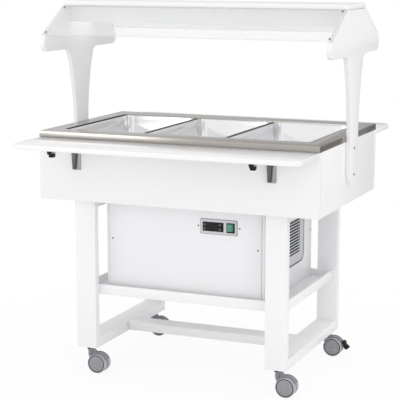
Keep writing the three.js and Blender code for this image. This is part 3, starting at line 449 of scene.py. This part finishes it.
# A flat ring with rounded corners, as thick as its box along one axis
def rounded_ring(corners, axis, radius, border):
    made = box_mesh(*corners)
    ease(made, edges_along(made, axis), radius, segments=8)
    flats = [face for face in made.faces if abs(face.normal[axis]) > 0.9]
    bmesh.ops.inset_individual(made, faces=flats, thickness=border, use_even_offset=True)
    rims = [edge for face in flats for edge in face.edges]
    bmesh.ops.delete(made, geom=flats, context="FACES_ONLY")
    bmesh.ops.bridge_loops(made, edges=rims)
    bmesh.ops.recalc_face_normals(made, faces=made.faces)
    return made


# Boards and frames
BOARD_EDGE = 0.8 * MM
GABLE_EDGE = 1.6 * MM
FRAME_EDGE = 2 * MM
TRAY_EDGE = 1.5 * MM
POST_BOLT = (4.6 * MM, 1.8 * MM)
POST_BOLT_RISES = (36 * MM, 134 * MM)
SHELF_CORNER = 16 * MM
SHELF_EDGE = 7 * MM
SLIDE_CORNER = 40 * MM
SLIDE_HINGE_CORNER = 6 * MM
SLIDE_EDGE = 2.5 * MM


# A board whose outer corners are rounded more than the two beside the body
def rounded_board(node, outer, inner, edge_radius, outward, paint):
    middle = middle_of(node)
    made = box_mesh(*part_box(node))
    outer_edges = edges_along(made, 2, lambda at: (at.y - middle.y) * outward > 0)
    ease(made, outer_edges, outer, segments=10)
    inner_edges = edges_along(made, 2, lambda at: (at.y - middle.y) * outward < 0)
    ease(made, inner_edges, inner, segments=6)
    level_edges = [edge for edge in sharp_edges(made, degrees=60) if is_level(edge)]
    ease(made, level_edges, edge_radius, segments=3)
    return stand_for(node, made, paint, crease=40)


for node in ("front_panel", "rear_panel", "left_end_panel", "right_end_panel", "bottom_panel"):
    eased(node, BOARD_EDGE, lacquer)
for side, way in SIDES:
    gable = f"{side}_gable"
    eased(gable, GABLE_EDGE, lacquer, segments=3)
    eased(f"{side}_side_frame", FRAME_EDGE, lacquer, segments=3)
    for step, rise in enumerate(POST_BOLT_RISES):
        at = (face_at(gable, 0, way), 0, face_at(gable, 2, -1) + rise)
        screw(f"{side}_post_bolt_{step}", at, (way, 0, 0), POST_BOLT, gable)
eased("cross_bar", TRAY_EDGE, lacquer)
eased("lower_tray", TRAY_EDGE, lacquer)
rounded_board("top_shelf", SHELF_CORNER, SHELF_CORNER, SHELF_EDGE, -1, lacquer)
for name, face in FACES:
    rounded_board(f"{name}_tray_slide", SLIDE_CORNER, SLIDE_HINGE_CORNER, SLIDE_EDGE, face, laminate)

# Stainless rim, divider bars, tank, foam and coil
RIM_EDGE = 0.7 * MM
BAR_EDGE = 0.4 * MM
TANK_EDGE = 0.5 * MM
FOAM_EDGE = 1.5 * MM
WELL_MARGIN = 3 * MM
STRIP_HALF = 1.2 * MM
STRIP_END = 14 * MM
STRIP_EDGE = 0.7 * MM
BELOW_RIM = 0.2 * MM
SHADOW_STRIP_DROP = 1.2 * MM
pan_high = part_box("right_pan")[1]
rim_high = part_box("rim_frame")[1]


# A dark strip along the side of a pan, up to just under the rim's top: a painted shadow line
def shadow_line_strip(name, middle_x, bottom, paint):
    reach = pan_high.y - STRIP_END
    made = box_mesh((middle_x - STRIP_HALF, -reach, bottom),
                    (middle_x + STRIP_HALF, reach, rim_high.z - BELOW_RIM))
    upper_edges = edges_along(made, 1, lambda at: at.z > bottom + WELD)
    ease(made, upper_edges, STRIP_EDGE, segments=3)
    return piece(name, made, "rim_frame", paint)


eased("rim_frame", RIM_EDGE, rim_steel)
for side, way in SIDES:
    bar = f"{side}_divider_bar"
    eased(bar, BAR_EDGE, rim_steel)
    # Dark strips on the bars and beside the outer pans paint the shadow lines between pans and rim
    shadow_line_strip(f"{side}_bar_shadow_strip", middle_of(bar).x, face_at(bar, 2, 1), shadow_line_steel)
    shadow_x = way * (pan_high.x + WELL_MARGIN / 2)
    shadow_line_strip(f"{side}_well_shadow_strip", shadow_x, pan_high.z - SHADOW_STRIP_DROP, painted_shade_rubber)
eased("tank", TANK_EDGE, tank_steel)
eased("insulation", FOAM_EDGE, foam)
repainted("cooling_coil", copper)

# Food pans
PAN_SHEET = 1 * MM
PAN_FLANGE = 11 * MM
PAN_DRAFT = 7 * MM
PAN_STEP = 1.6 * MM
PAN_STEP_DROPS = (20 * MM, 16 * MM)
PAN_CORNER = 30 * MM
PAN_FLOOR_CORNER = 12 * MM
FLANGE_CORNER = 12 * MM


def sign(value):
    return 1 if value > 0 else -1


# A drawn tray with tapered walls, a step under its mouth and a flat flange, given its sheet at the end
def food_pan(node):
    low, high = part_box(node)
    middle = (low + high) / 2
    half = (high - low) / 2
    inset = PAN_FLANGE + PAN_STEP
    made = box_mesh(low + Vector((inset, inset, PAN_SHEET)), high - Vector((inset, inset, 0)))
    for vert in made.verts:
        if vert.co.z < middle.z:
            for axis in (0, 1):
                vert.co[axis] -= sign(vert.co[axis] - middle[axis]) * (PAN_DRAFT - PAN_STEP)
    ease(made, [edge for edge in made.edges if not is_level(edge)], PAN_CORNER, segments=8)
    floor_edges = [edge for edge in sharp_edges(made, degrees=50)
                   if max(vert.co.z for vert in edge.verts) < middle.z]
    ease(made, floor_edges, PAN_FLOOR_CORNER, segments=5)
    top = [face for face in made.faces if face.normal.z > 0.9 and face.calc_center_median().z > middle.z]
    bmesh.ops.delete(made, geom=top, context="FACES_ONLY")
    for drop in PAN_STEP_DROPS:
        everything = made.verts[:] + made.edges[:] + made.faces[:]
        bmesh.ops.bisect_plane(made, geom=everything, plane_co=(0, 0, high.z - drop), plane_no=(0, 0, 1))
    step_height = high.z - sum(PAN_STEP_DROPS) / 2
    for vert in made.verts:
        if vert.co.z > step_height:
            for axis in (0, 1):
                vert.co[axis] += sign(vert.co[axis] - middle[axis]) * PAN_STEP
    mouth = [edge for edge in made.edges if edge.is_boundary]
    grown = bmesh.ops.extrude_edge_only(made, edges=mouth)["geom"]
    for vert in (item for item in grown if isinstance(item, bmesh.types.BMVert)):
        for axis in (0, 1):
            offset = vert.co[axis] - middle[axis]
            arc = (abs(offset) - half[axis] + PAN_FLANGE + PAN_CORNER) * FLANGE_CORNER / PAN_CORNER
            vert.co[axis] = middle[axis] + sign(offset) * (half[axis] - FLANGE_CORNER + arc)
    bmesh.ops.recalc_face_normals(made, faces=made.faces)
    floor = max(made.faces, key=lambda face: face.calc_area())
    if floor.normal.z < 0:
        bmesh.ops.reverse_faces(made, faces=made.faces)
    shown = stand_for(node, made, pan_steel, crease=50)
    wall = shown.modifiers.new("sheet", "SOLIDIFY")
    wall.thickness = PAN_SHEET
    wall.offset = -1
    return shown


for name in ("left", "middle", "right"):
    food_pan(f"{name}_pan")

# Light housing, lamp and breath screens
LIGHT_HOUSING_EDGE = 1.2 * MM
DIFFUSER_EDGE = 0.5 * MM
LAMP_EDGE = 0.6 * MM
SCREEN_EASE = 0.6 * MM
SCREEN_EDGE_AREA = 20000 * MM * MM
SCREEN_SCREW = (3.6 * MM, 2 * MM)
SCREEN_SCREW_INSET = 11 * MM
SCREEN_SCREW_GAP = 4 * MM


# A clear sheet whose narrow faces show the thickness, with a screw at each corner beside the gables
def breath_screen(name):
    node = f"{name}_screen"
    made = copy_of(node)
    ease(made, sharp_edges(made), SCREEN_EASE)
    for face in made.faces:
        if face.calc_area() < SCREEN_EDGE_AREA:
            face.material_index = 1
    outer = max((face for face in made.faces if face.normal.z > 0), key=lambda face: face.calc_area())
    centre = outer.calc_center_median()
    across = outer.normal.copy()
    slope = across.cross(Vector((1, 0, 0)))
    half = max(slope.dot(vert.co - centre) for vert in outer.verts)
    for side, way in SIDES:
        for place in (-1, 1):
            at = centre + slope * place * (half - SCREEN_SCREW_INSET)
            at.x = face_at(f"{side}_gable", 0, -way) + way * SCREEN_SCREW_GAP
            screw(f"{name}_{side}_screen_screw_{place + 1}", at, across, SCREEN_SCREW, node)
    return stand_for(node, made, screen_glass, screen_edge)


eased("light_housing", LIGHT_HOUSING_EDGE, bright_powder, segments=3)
for name, _ in FACES:
    breath_screen(name)
eased("diffuser", DIFFUSER_EDGE, opal)
eased("lamp_tube", LAMP_EDGE, lamp_glass)

# Slide brackets: what stands proud of a wall leg's plate is painted in darker zinc, as painted shade
LEG_PLATE = 3 * MM
LEG_PLATE_SKIN = 0.3 * MM
LEG_EDGE = 0.5 * MM
LEG_SCREW = (3.2 * MM, 1.4 * MM)
LEG_SCREW_INSET = 6 * MM
LEG_SCREW_RISES = (12 * MM, 81 * MM)
ARM_EDGE = 0.4 * MM
LEVER_EDGE = 0.8 * MM


def slide_bracket(name, side, face):
    leg = f"{name}_{side}_wall_leg"
    free_x = face_at(leg, 0, -face) + face * LEG_SCREW_INSET
    plate_y = face_at(leg, 1, -face) + face * LEG_PLATE
    made = copy_of(leg)
    ease(made, sharp_edges(made), LEG_EDGE)
    for part in made.faces:
        if (part.calc_center_median().y - plate_y) * face > LEG_PLATE_SKIN:
            part.material_index = 1
    stand_for(leg, made, zinc, painted_shade_zinc)
    for step, rise in enumerate(LEG_SCREW_RISES):
        at = (free_x, plate_y, face_at(leg, 2, -1) + rise)
        screw(f"{name}_{side}_leg_screw_{step}", at, (0, face, 0), LEG_SCREW, leg, zinc)
    eased(f"{name}_{side}_folding_arm", ARM_EDGE, zinc)
    eased(f"{name}_{side}_release_lever", LEVER_EDGE, black_plastic)


for name, face in FACES:
    for side, _ in SIDES:
        slide_bracket(name, side, face)

# Casters. Outlines are in millimetres from the axle or the neck
FORK_EDGE = 0.8 * MM
RING_OUTER = 34.6 * MM
RING_INNER = 30.8 * MM
WHEEL_FACE = 20 * MM
HOOD_RADIUS = 42 * MM
HOOD_START = math.radians(27)
HOOD_END = math.radians(128)
RIDGE_SPACING = 5.6 * MM
NECK_RADIUS = 10 * MM
PEDAL_END = math.radians(38)
PEDAL_TOE = 54 * MM
PEDAL_EDGE = 1 * MM
TOE_SHARE = 0.78
GRIP_RADIUS = 0.9 * MM
GRIP_HALF = 8 * MM
wheel_outline = [(8, 4.8), (34.6, 4.8), (36.9, 5.6), (37.5, 8), (37.5, 23), (36.8, 25.2), (35.4, 26),
                 (34.6, 25.9), (34.2, 24.7), (31.2, 24.7), (30.8, 25.6), (27, 26.1), (26.7, 25.9),
                 (26.4, 26.15), (20, 26.5), (19.7, 26.3), (19.4, 26.52), (9, 26.8), (8.7, 26.6),
                 (8.4, 26.8), (0, 26.8)]
ridge_outline = [(-1.5, -0.4), (-1.0, 0.7), (1.0, 0.7), (1.5, -0.4)]
neck_outline = [(10.1, -13.5), (11.4, -12.5), (11.8, -4.2), (10.1, -4.2), (10.1, -13.5)]
pedal_outline = [(35.2, 24.8), (42.0, 11.0), (44.5, 2.0), (50.5, -7.0), (56.0, -8.0), (66.5, 0.5),
                 (58.5, 7.0), (51.0, 12.5), (50.0, 22.5), (43.0, 26.3)]


def in_metres(outline):
    return [(across * MM, along * MM) for across, along in outline]


# Two treads, their rings and their dished discs in one shape, with the hub between them
def twin_wheel(node):
    centre = middle_of(node)
    near_half = [(radius, -distance) for radius, distance in reversed(wheel_outline)]
    made = bmesh.new()
    turned(made, in_metres(near_half + wheel_outline), centre, LEVEL, segments=56)
    for face in made.faces:
        at = face.calc_center_median() - centre
        reach = math.hypot(at.x, at.z)
        if abs(at.y) > WHEEL_FACE and reach < RING_OUTER:
            face.material_index = 1 if reach > RING_INNER else 2
    return stand_for(node, made, tread_plastic, ring_plastic, disc_plastic, crease=40)


# Ridges along the hood over the wheels, clear of the pedal where there is one
def hood_ridges(fork, wheel, start):
    centre = middle_of(wheel)
    outward = Vector((math.cos(start), 0, math.sin(start)))
    made = bmesh.new()
    for row in (-2, -1, 0, 1, 2):
        points = []
        for across, rise in ridge_outline:
            sideways = Vector((0, row * RIDGE_SPACING + across * MM, 0))
            points.append(made.verts.new(centre + outward * (HOOD_RADIUS + rise * MM) + sideways))
        section = made.faces.new(points)
        bmesh.ops.spin(made, geom=[section], cent=centre, axis=(0, -1, 0),
                       angle=HOOD_END - start, steps=20, use_duplicate=False)
    bmesh.ops.recalc_face_normals(made, faces=made.faces)
    return piece(f"{fork}_ridges", made, fork, fork_plastic)


# A dark band round the top of the fork's neck, just under the side frame: painted shade
def neck_shade_band(fork):
    centre = (face_at(fork, 0, -1) + NECK_RADIUS, middle_of(fork).y, face_at("left_side_frame", 2, -1))
    made = bmesh.new()
    turned(made, in_metres(neck_outline), centre, UPRIGHT, segments=32)
    return piece(f"{fork}_neck_shade_band", made, fork, ring_plastic)


# Brake pedal: a block on the hinge, a waist and a narrower toe with three grip bars
def brake_pedal(node, wheel):
    low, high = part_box(node)
    centre = middle_of(wheel)
    outline = [Vector((x, 0, z)) * MM for x, z in pedal_outline]
    near_side = Vector((centre.x, low.y, centre.z))
    made = bmesh.new()
    flat = made.faces.new([made.verts.new(near_side + at) for at in outline])
    grown = bmesh.ops.extrude_face_region(made, geom=[flat])["geom"]
    far_side = [item for item in grown if isinstance(item, bmesh.types.BMVert)]
    bmesh.ops.translate(made, vec=(0, high.y - low.y, 0), verts=far_side)
    for vert in made.verts:
        if vert.co.x > centre.x + PEDAL_TOE:
            vert.co.y = centre.y + TOE_SHARE * (vert.co.y - centre.y)
    bmesh.ops.recalc_face_normals(made, faces=made.faces)
    ease(made, sharp_edges(made, degrees=20), PEDAL_EDGE, segments=3)
    tip, heel = outline[5:7]
    bar = [(0, -GRIP_HALF), (GRIP_RADIUS, -GRIP_HALF), (GRIP_RADIUS, GRIP_HALF), (0, GRIP_HALF)]
    for share in (0.3, 0.5, 0.7):
        turned(made, bar, centre + tip.lerp(heel, share), LEVEL, segments=12)
    return stand_for(node, made, black_plastic)


for name, face in FACES:
    for side, _ in SIDES:
        fork = f"{name}_{side}_caster_fork"
        wheel = f"{name}_{side}_twin_wheel"
        eased(fork, FORK_EDGE, fork_plastic)
        neck_shade_band(fork)
        twin_wheel(wheel)
        hood_ridges(fork, wheel, PEDAL_END if face > 0 else HOOD_START)
        if face > 0:
            brake_pedal(f"{name}_{side}_brake_pedal", wheel)

# Machine housing, service panel and controls
COVER_EDGE = 0.6 * MM
COVER_SKIN = 0.2 * MM
GLAND_LENGTH = 16 * MM
HOUSING_SCREW_INSET = 11.4 * MM
HOUSING_SCREW_Z = 512 * MM
PANEL_EDGE = 0.5 * MM
PANEL_SCREW = (3 * MM, 1.5 * MM)
PANEL_SCREW_INSET = 14 * MM
PANEL_SCREW_Z = 530 * MM
BEZEL_SCREW_REACH = 82.5 * MM
SEAM_AND_GASKET_SIZE = 1.2 * MM
SEAM_END = 1 * MM
SEAM_EDGE = 0.3 * MM
BEZEL_EDGE = 0.6 * MM
COLLAR_DEPTH = 1.75 * MM
BEZEL_GASKET = 1.4 * MM
BEZEL_GASKET_CORNER = 6 * MM
BEZEL_GASKET_BORDER = 4 * MM
CONTROLLER_EDGE = 1.2 * MM
WINDOW_RISE = 0.25 * MM
WINDOW_DEPTH = 0.5 * MM
WINDOW_CORNER = 2 * MM
ROCKER_EDGE = 0.8 * MM
window_shares = ((0.2, 0.16), (0.74, 0.84))
key_shares = ((0.1, 0.72), (0.1, 0.28), (0.84, 0.74), (0.84, 0.26))
key_outline = [(0, -0.5), (3.2, -0.45), (3.8, 0.1), (0, 0.1)]


# The sheet cover with the black cable gland on its rear wall
def housing():
    node = "machine_cover"
    made = copy_of(node)
    ease(made, sharp_edges(made), COVER_EDGE)
    wall = face_at(node, 1, 1) - GLAND_LENGTH
    for face in made.faces:
        if face.calc_center_median().y > wall + COVER_SKIN:
            face.material_index = 1
    stand_for(node, made, powder, black_plastic)
    for side, way in SIDES:
        at = (way * face_at(node, 0, 1), wall - HOUSING_SCREW_INSET, HOUSING_SCREW_Z)
        screw(f"{side}_housing_screw", at, (way, 0, 0), PANEL_SCREW, node)


def service_panel():
    node = "service_panel"
    eased(node, PANEL_EDGE, powder)
    low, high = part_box(node)
    bezel = middle_of("control_bezel")
    spots = [(low.x + PANEL_SCREW_INSET, PANEL_SCREW_Z), (high.x - PANEL_SCREW_INSET, PANEL_SCREW_Z),
             (bezel.x - BEZEL_SCREW_REACH, bezel.z), (bezel.x + BEZEL_SCREW_REACH, bezel.z)]
    for step, (x, z) in enumerate(spots):
        screw(f"service_panel_screw_{step}", (x, low.y, z), (0, -1, 0), PANEL_SCREW, node)
    # Grey strips beside the panel's long edges paint the shadow in the seam against the cover
    cover_y = face_at("machine_cover", 1, -1)
    for side, way in SIDES:
        start_x, stop_x = sorted((way * high.x, way * (high.x + SEAM_AND_GASKET_SIZE)))
        made = box_mesh((start_x, cover_y - SEAM_AND_GASKET_SIZE, low.z + SEAM_END),
                        (stop_x, cover_y, high.z - SEAM_END))
        ease(made, edges_along(made, 2), SEAM_EDGE)
        piece(f"{side}_panel_seam_shade", made, "control_bezel", seam_shade_grey)


# The bezel's grey frame with the black collar round the controls, on a thin gasket
def bezel():
    node = "control_bezel"
    made = copy_of(node)
    ease(made, sharp_edges(made), BEZEL_EDGE, segments=3)
    for face in made.faces:
        if min(vert.co.y for vert in face.verts) < face_at(node, 1, -1) + COLLAR_DEPTH:
            face.material_index = 1
    stand_for(node, made, bezel_plastic, black_plastic)
    panel_y = face_at("service_panel", 1, -1)
    corners = spanned(node, 1, panel_y - SEAM_AND_GASKET_SIZE, panel_y, BEZEL_GASKET)
    dark_ring = rounded_ring(corners, 1, BEZEL_GASKET_CORNER, BEZEL_GASKET_BORDER)
    piece("bezel_gasket", dark_ring, node, bezel_rubber)


# The controller with its dark window and four plain foil keys. Shares are of its width and height.
def controller():
    node = "temperature_controller"
    low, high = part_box(node)
    size = high - low
    made = copy_of(node)
    ease(made, sharp_edges(made), CONTROLLER_EDGE, segments=3)
    stand_for(node, made, black_plastic)
    (left, bottom), (right, top) = window_shares
    window = box_mesh((low.x + left * size.x, low.y - WINDOW_RISE, low.z + bottom * size.z),
                      (low.x + right * size.x, low.y + WINDOW_DEPTH, low.z + top * size.z))
    ease(window, edges_along(window, 1), WINDOW_CORNER, segments=4)
    piece("controller_window", window, node, display_glass)
    for step, (across, up) in enumerate(key_shares):
        centre = (low.x + across * size.x, low.y, low.z + up * size.z)
        key = bmesh.new()
        turned(key, in_metres(key_outline), centre, LEVEL, segments=24)
        piece(f"controller_key_{step}", key, node, key_foil)


housing()
service_panel()
bezel()
controller()
eased("switch_rocker", ROCKER_EDGE, rocker_green)

# Vent grille with its bead, a dark ring behind its edge as painted shadow, and the dust filter behind it
GRILLE_EDGE = 0.7 * MM
GRILLE_LIP = 0.9 * MM
GRILLE_SKIN = 0.2 * MM
GRILLE_FRAME = 5 * MM
BEAD_HALF = 0.5 * MM
BEAD_INSET = 1 * MM
BEAD_CORNER = 34 * MM
BEAD_BORDER = 5 * MM
VENT_SHADOW_MARGIN = 2.2 * MM
VENT_SHADOW_BACK = 0.02 * MM
VENT_SHADOW_FRONT = 0.9 * MM
VENT_SHADOW_CORNER = 35 * MM
VENT_SHADOW_BORDER = 9 * MM
FILTER_BACK = 8 * MM
FILTER_FRONT = 3.5 * MM
FILTER_INSET = 8 * MM
FILTER_CORNER = 12 * MM


# The walls of the slots and the grille's outer wall are painted dark, as painted shade in the slots and
# along the edge; the rest is grey
def vent_grille():
    node = "vent_grille"
    low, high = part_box(node)
    made = copy_of(node)
    ease(made, sharp_edges(made), GRILLE_EDGE)
    for face in made.faces:
        at = face.calc_center_median()
        beside = min(at.y - low.y, high.y - at.y, at.z - low.z, high.z - at.z)
        is_wall = abs(face.normal.x) < 0.5 and at.x < high.x - GRILLE_LIP
        if is_wall and (beside < GRILLE_SKIN or beside > GRILLE_FRAME):
            face.material_index = 1
    stand_for(node, made, vent_plastic, painted_shade_rubber)
    corners = spanned(node, 0, high.x - BEAD_HALF, high.x + BEAD_HALF, -BEAD_INSET)
    piece("vent_bead", rounded_ring(corners, 0, BEAD_CORNER, BEAD_BORDER), node, bezel_rubber)
    # A dark ring a little wider than the grille, behind it: painted shadow round the grille's edge
    corners = spanned(node, 0, low.x + VENT_SHADOW_BACK, low.x + VENT_SHADOW_FRONT, VENT_SHADOW_MARGIN)
    dark_ring = rounded_ring(corners, 0, VENT_SHADOW_CORNER, VENT_SHADOW_BORDER)
    piece("vent_shadow_ring", dark_ring, node, painted_shade_rubber)
    dust_filter = box_mesh(*spanned(node, 0, low.x - FILTER_BACK, low.x - FILTER_FRONT, -FILTER_INSET))
    ease(dust_filter, edges_along(dust_filter, 0), FILTER_CORNER, segments=4)
    piece("vent_dust_filter", dust_filter, node, filter_foam)


vent_grille()

# Cooling unit
COMPRESSOR_EDGE = 1.5 * MM
FAN_EDGE = 0.5 * MM
MOTOR_EDGE = 1 * MM
eased("compressor", COMPRESSOR_EDGE, black_enamel)
repainted("condenser", fins)
eased("condenser_fan", FAN_EDGE, black_plastic)
eased("fan_motor", MOTOR_EDGE, casing)

# Floor, surround, lamps and camera. The camera sees plain white. Steel sees a graded room: bright in
# front on the left, grey overhead and darker behind on the right. Matt surfaces get soft light all
# round, a little more from the right, from the front and from above.
MATT_SHARE = 0.12
MATT_REACH = 0.8
PLAIN_REACH = 3.0
FLOOR_HALF = 30
CAMERA_RAY, GLOSSY_RAY, CLEAR_RAY = 0, 3, 6
FILL_LEVEL, FILL_RIGHT, FILL_FRONT, FILL_ABOVE = 0.90, 0.16, 0.09, 0.24
LAMP_AIM = Vector((0, 0, 0.8))


# One where the ray is of any of these kinds, and zero elsewhere
def ray_is(paint, *outputs):
    kinds = [paint.node("ShaderNodeLightPath", output=output) for output in outputs]
    return paint.node("ShaderNodeMath", {"operation": "MINIMUM"}, {0: sum(kinds), 1: 1.0})


# Plain white for the camera, graded for reflections, and matt enough near the trolley for its shadow
def floor_finish():
    paint = new_paint("studio_floor")
    mottle = paint.noise(3.0)
    colours = paint.tint(mottle, (0.93, 0.93, 0.93), (0.95, 0.95, 0.95))
    matt = paint.node("ShaderNodeBsdfDiffuse", None, {"Color": colours})
    room = 0.08 * paint.axis(0) + 0.05 * paint.axis(1)
    graded = paint.between(room, -0.25, 0.45, 1.0, 0.3)
    shade = paint.between(ray_is(paint, CAMERA_RAY, CLEAR_RAY), 0.0, 1.0, graded, 1.0)
    glow = paint.tint(shade, (0, 0, 0), (1, 1, 1))
    light = paint.node("ShaderNodeEmission", None, {"Color": glow})
    reach = paint.node("ShaderNodeVectorMath", {"operation": "LENGTH"}, {0: paint.place()}, output=1)
    seen = ray_is(paint, CAMERA_RAY, GLOSSY_RAY, CLEAR_RAY)
    share = paint.between(reach, MATT_REACH, PLAIN_REACH, 1 - MATT_SHARE, 1.0) * seen
    return paint.surface(paint.node("ShaderNodeMixShader", None, {0: share, 1: matt, 2: light}))


def studio_floor():
    made = bmesh.new()
    bmesh.ops.create_grid(made, x_segments=1, y_segments=1, size=FLOOR_HALF)
    mesh = bpy.data.meshes.new("studio_floor")
    made.to_mesh(mesh)
    made.free()
    mesh.materials.append(floor_finish())
    floor = bpy.data.objects.new("studio_floor", mesh)
    bpy.context.scene.collection.objects.link(floor)


def studio_world():
    world = bpy.data.worlds.new("studio_world")
    bpy.context.scene.world = world
    surround = Paint(world)
    toward = {0: surround.node("ShaderNodeTexCoord", output=0)}
    x, y, z = (surround.node("ShaderNodeSeparateXYZ", None, toward, output=index) for index in range(3))
    fill = FILL_LEVEL + FILL_RIGHT * x - FILL_FRONT * y + FILL_ABOVE * z
    behind = 0.35 * x + 0.25 * y
    graded = surround.between(behind, -0.2, 0.1, 1.0, 0.74)
    graded = graded * surround.between(behind, 0.09, 0.15, 1.0, 0.78)
    graded = graded * surround.between(z, 0.3, 0.9, 1.0, 0.8)
    card = surround.between(x, -0.42, -0.49, 0.0, 1.3) * (y < 0.0)
    graded = graded + card * surround.between(z, 0.35, 0.5, 1.0, 0.0)
    soft = surround.between(ray_is(surround, GLOSSY_RAY), 0.0, 1.0, fill, graded)
    strength = surround.between(ray_is(surround, CAMERA_RAY, CLEAR_RAY), 0.0, 1.0, soft, 1.0)
    light = surround.node("ShaderNodeBackground", None, {"Color": (1, 1, 1, 1), "Strength": strength})
    surround.node("ShaderNodeOutputWorld", None, {"Surface": light})


def softbox(name, place, width, height, watts):
    lamp = bpy.data.lights.new(name, "AREA")
    lamp.shape = "RECTANGLE"
    lamp.size = width
    lamp.size_y = height
    lamp.energy = watts
    holder = bpy.data.objects.new(name, lamp)
    holder.location = place
    holder.rotation_euler = (LAMP_AIM - Vector(place)).to_track_quat("-Z", "Y").to_euler()
    bpy.context.scene.collection.objects.link(holder)


# The camera solved from the well, the casters and the gantry
def photo_camera():
    drop, turn = 0.1779, 0.4
    lens = bpy.data.cameras.new("photo_camera")
    lens.sensor_width = 36
    lens.lens = 122.3
    camera = bpy.data.objects.new("photo_camera", lens)
    camera.location = (1.9874, -4.8104, 1.5896)
    camera.rotation_euler = (math.pi / 2 - drop, 0, turn)
    bpy.context.scene.collection.objects.link(camera)
    bpy.context.scene.camera = camera


studio_floor()
studio_world()
softbox("key_softbox", (-4.2, -4.6, 1.5), width=3.5, height=2.6, watts=20)
softbox("side_softbox", (4.6, -2.6, 1.6), width=2.5, height=2.5, watts=11)
photo_camera()
bpy.context.scene.view_settings.view_transform = "Standard"
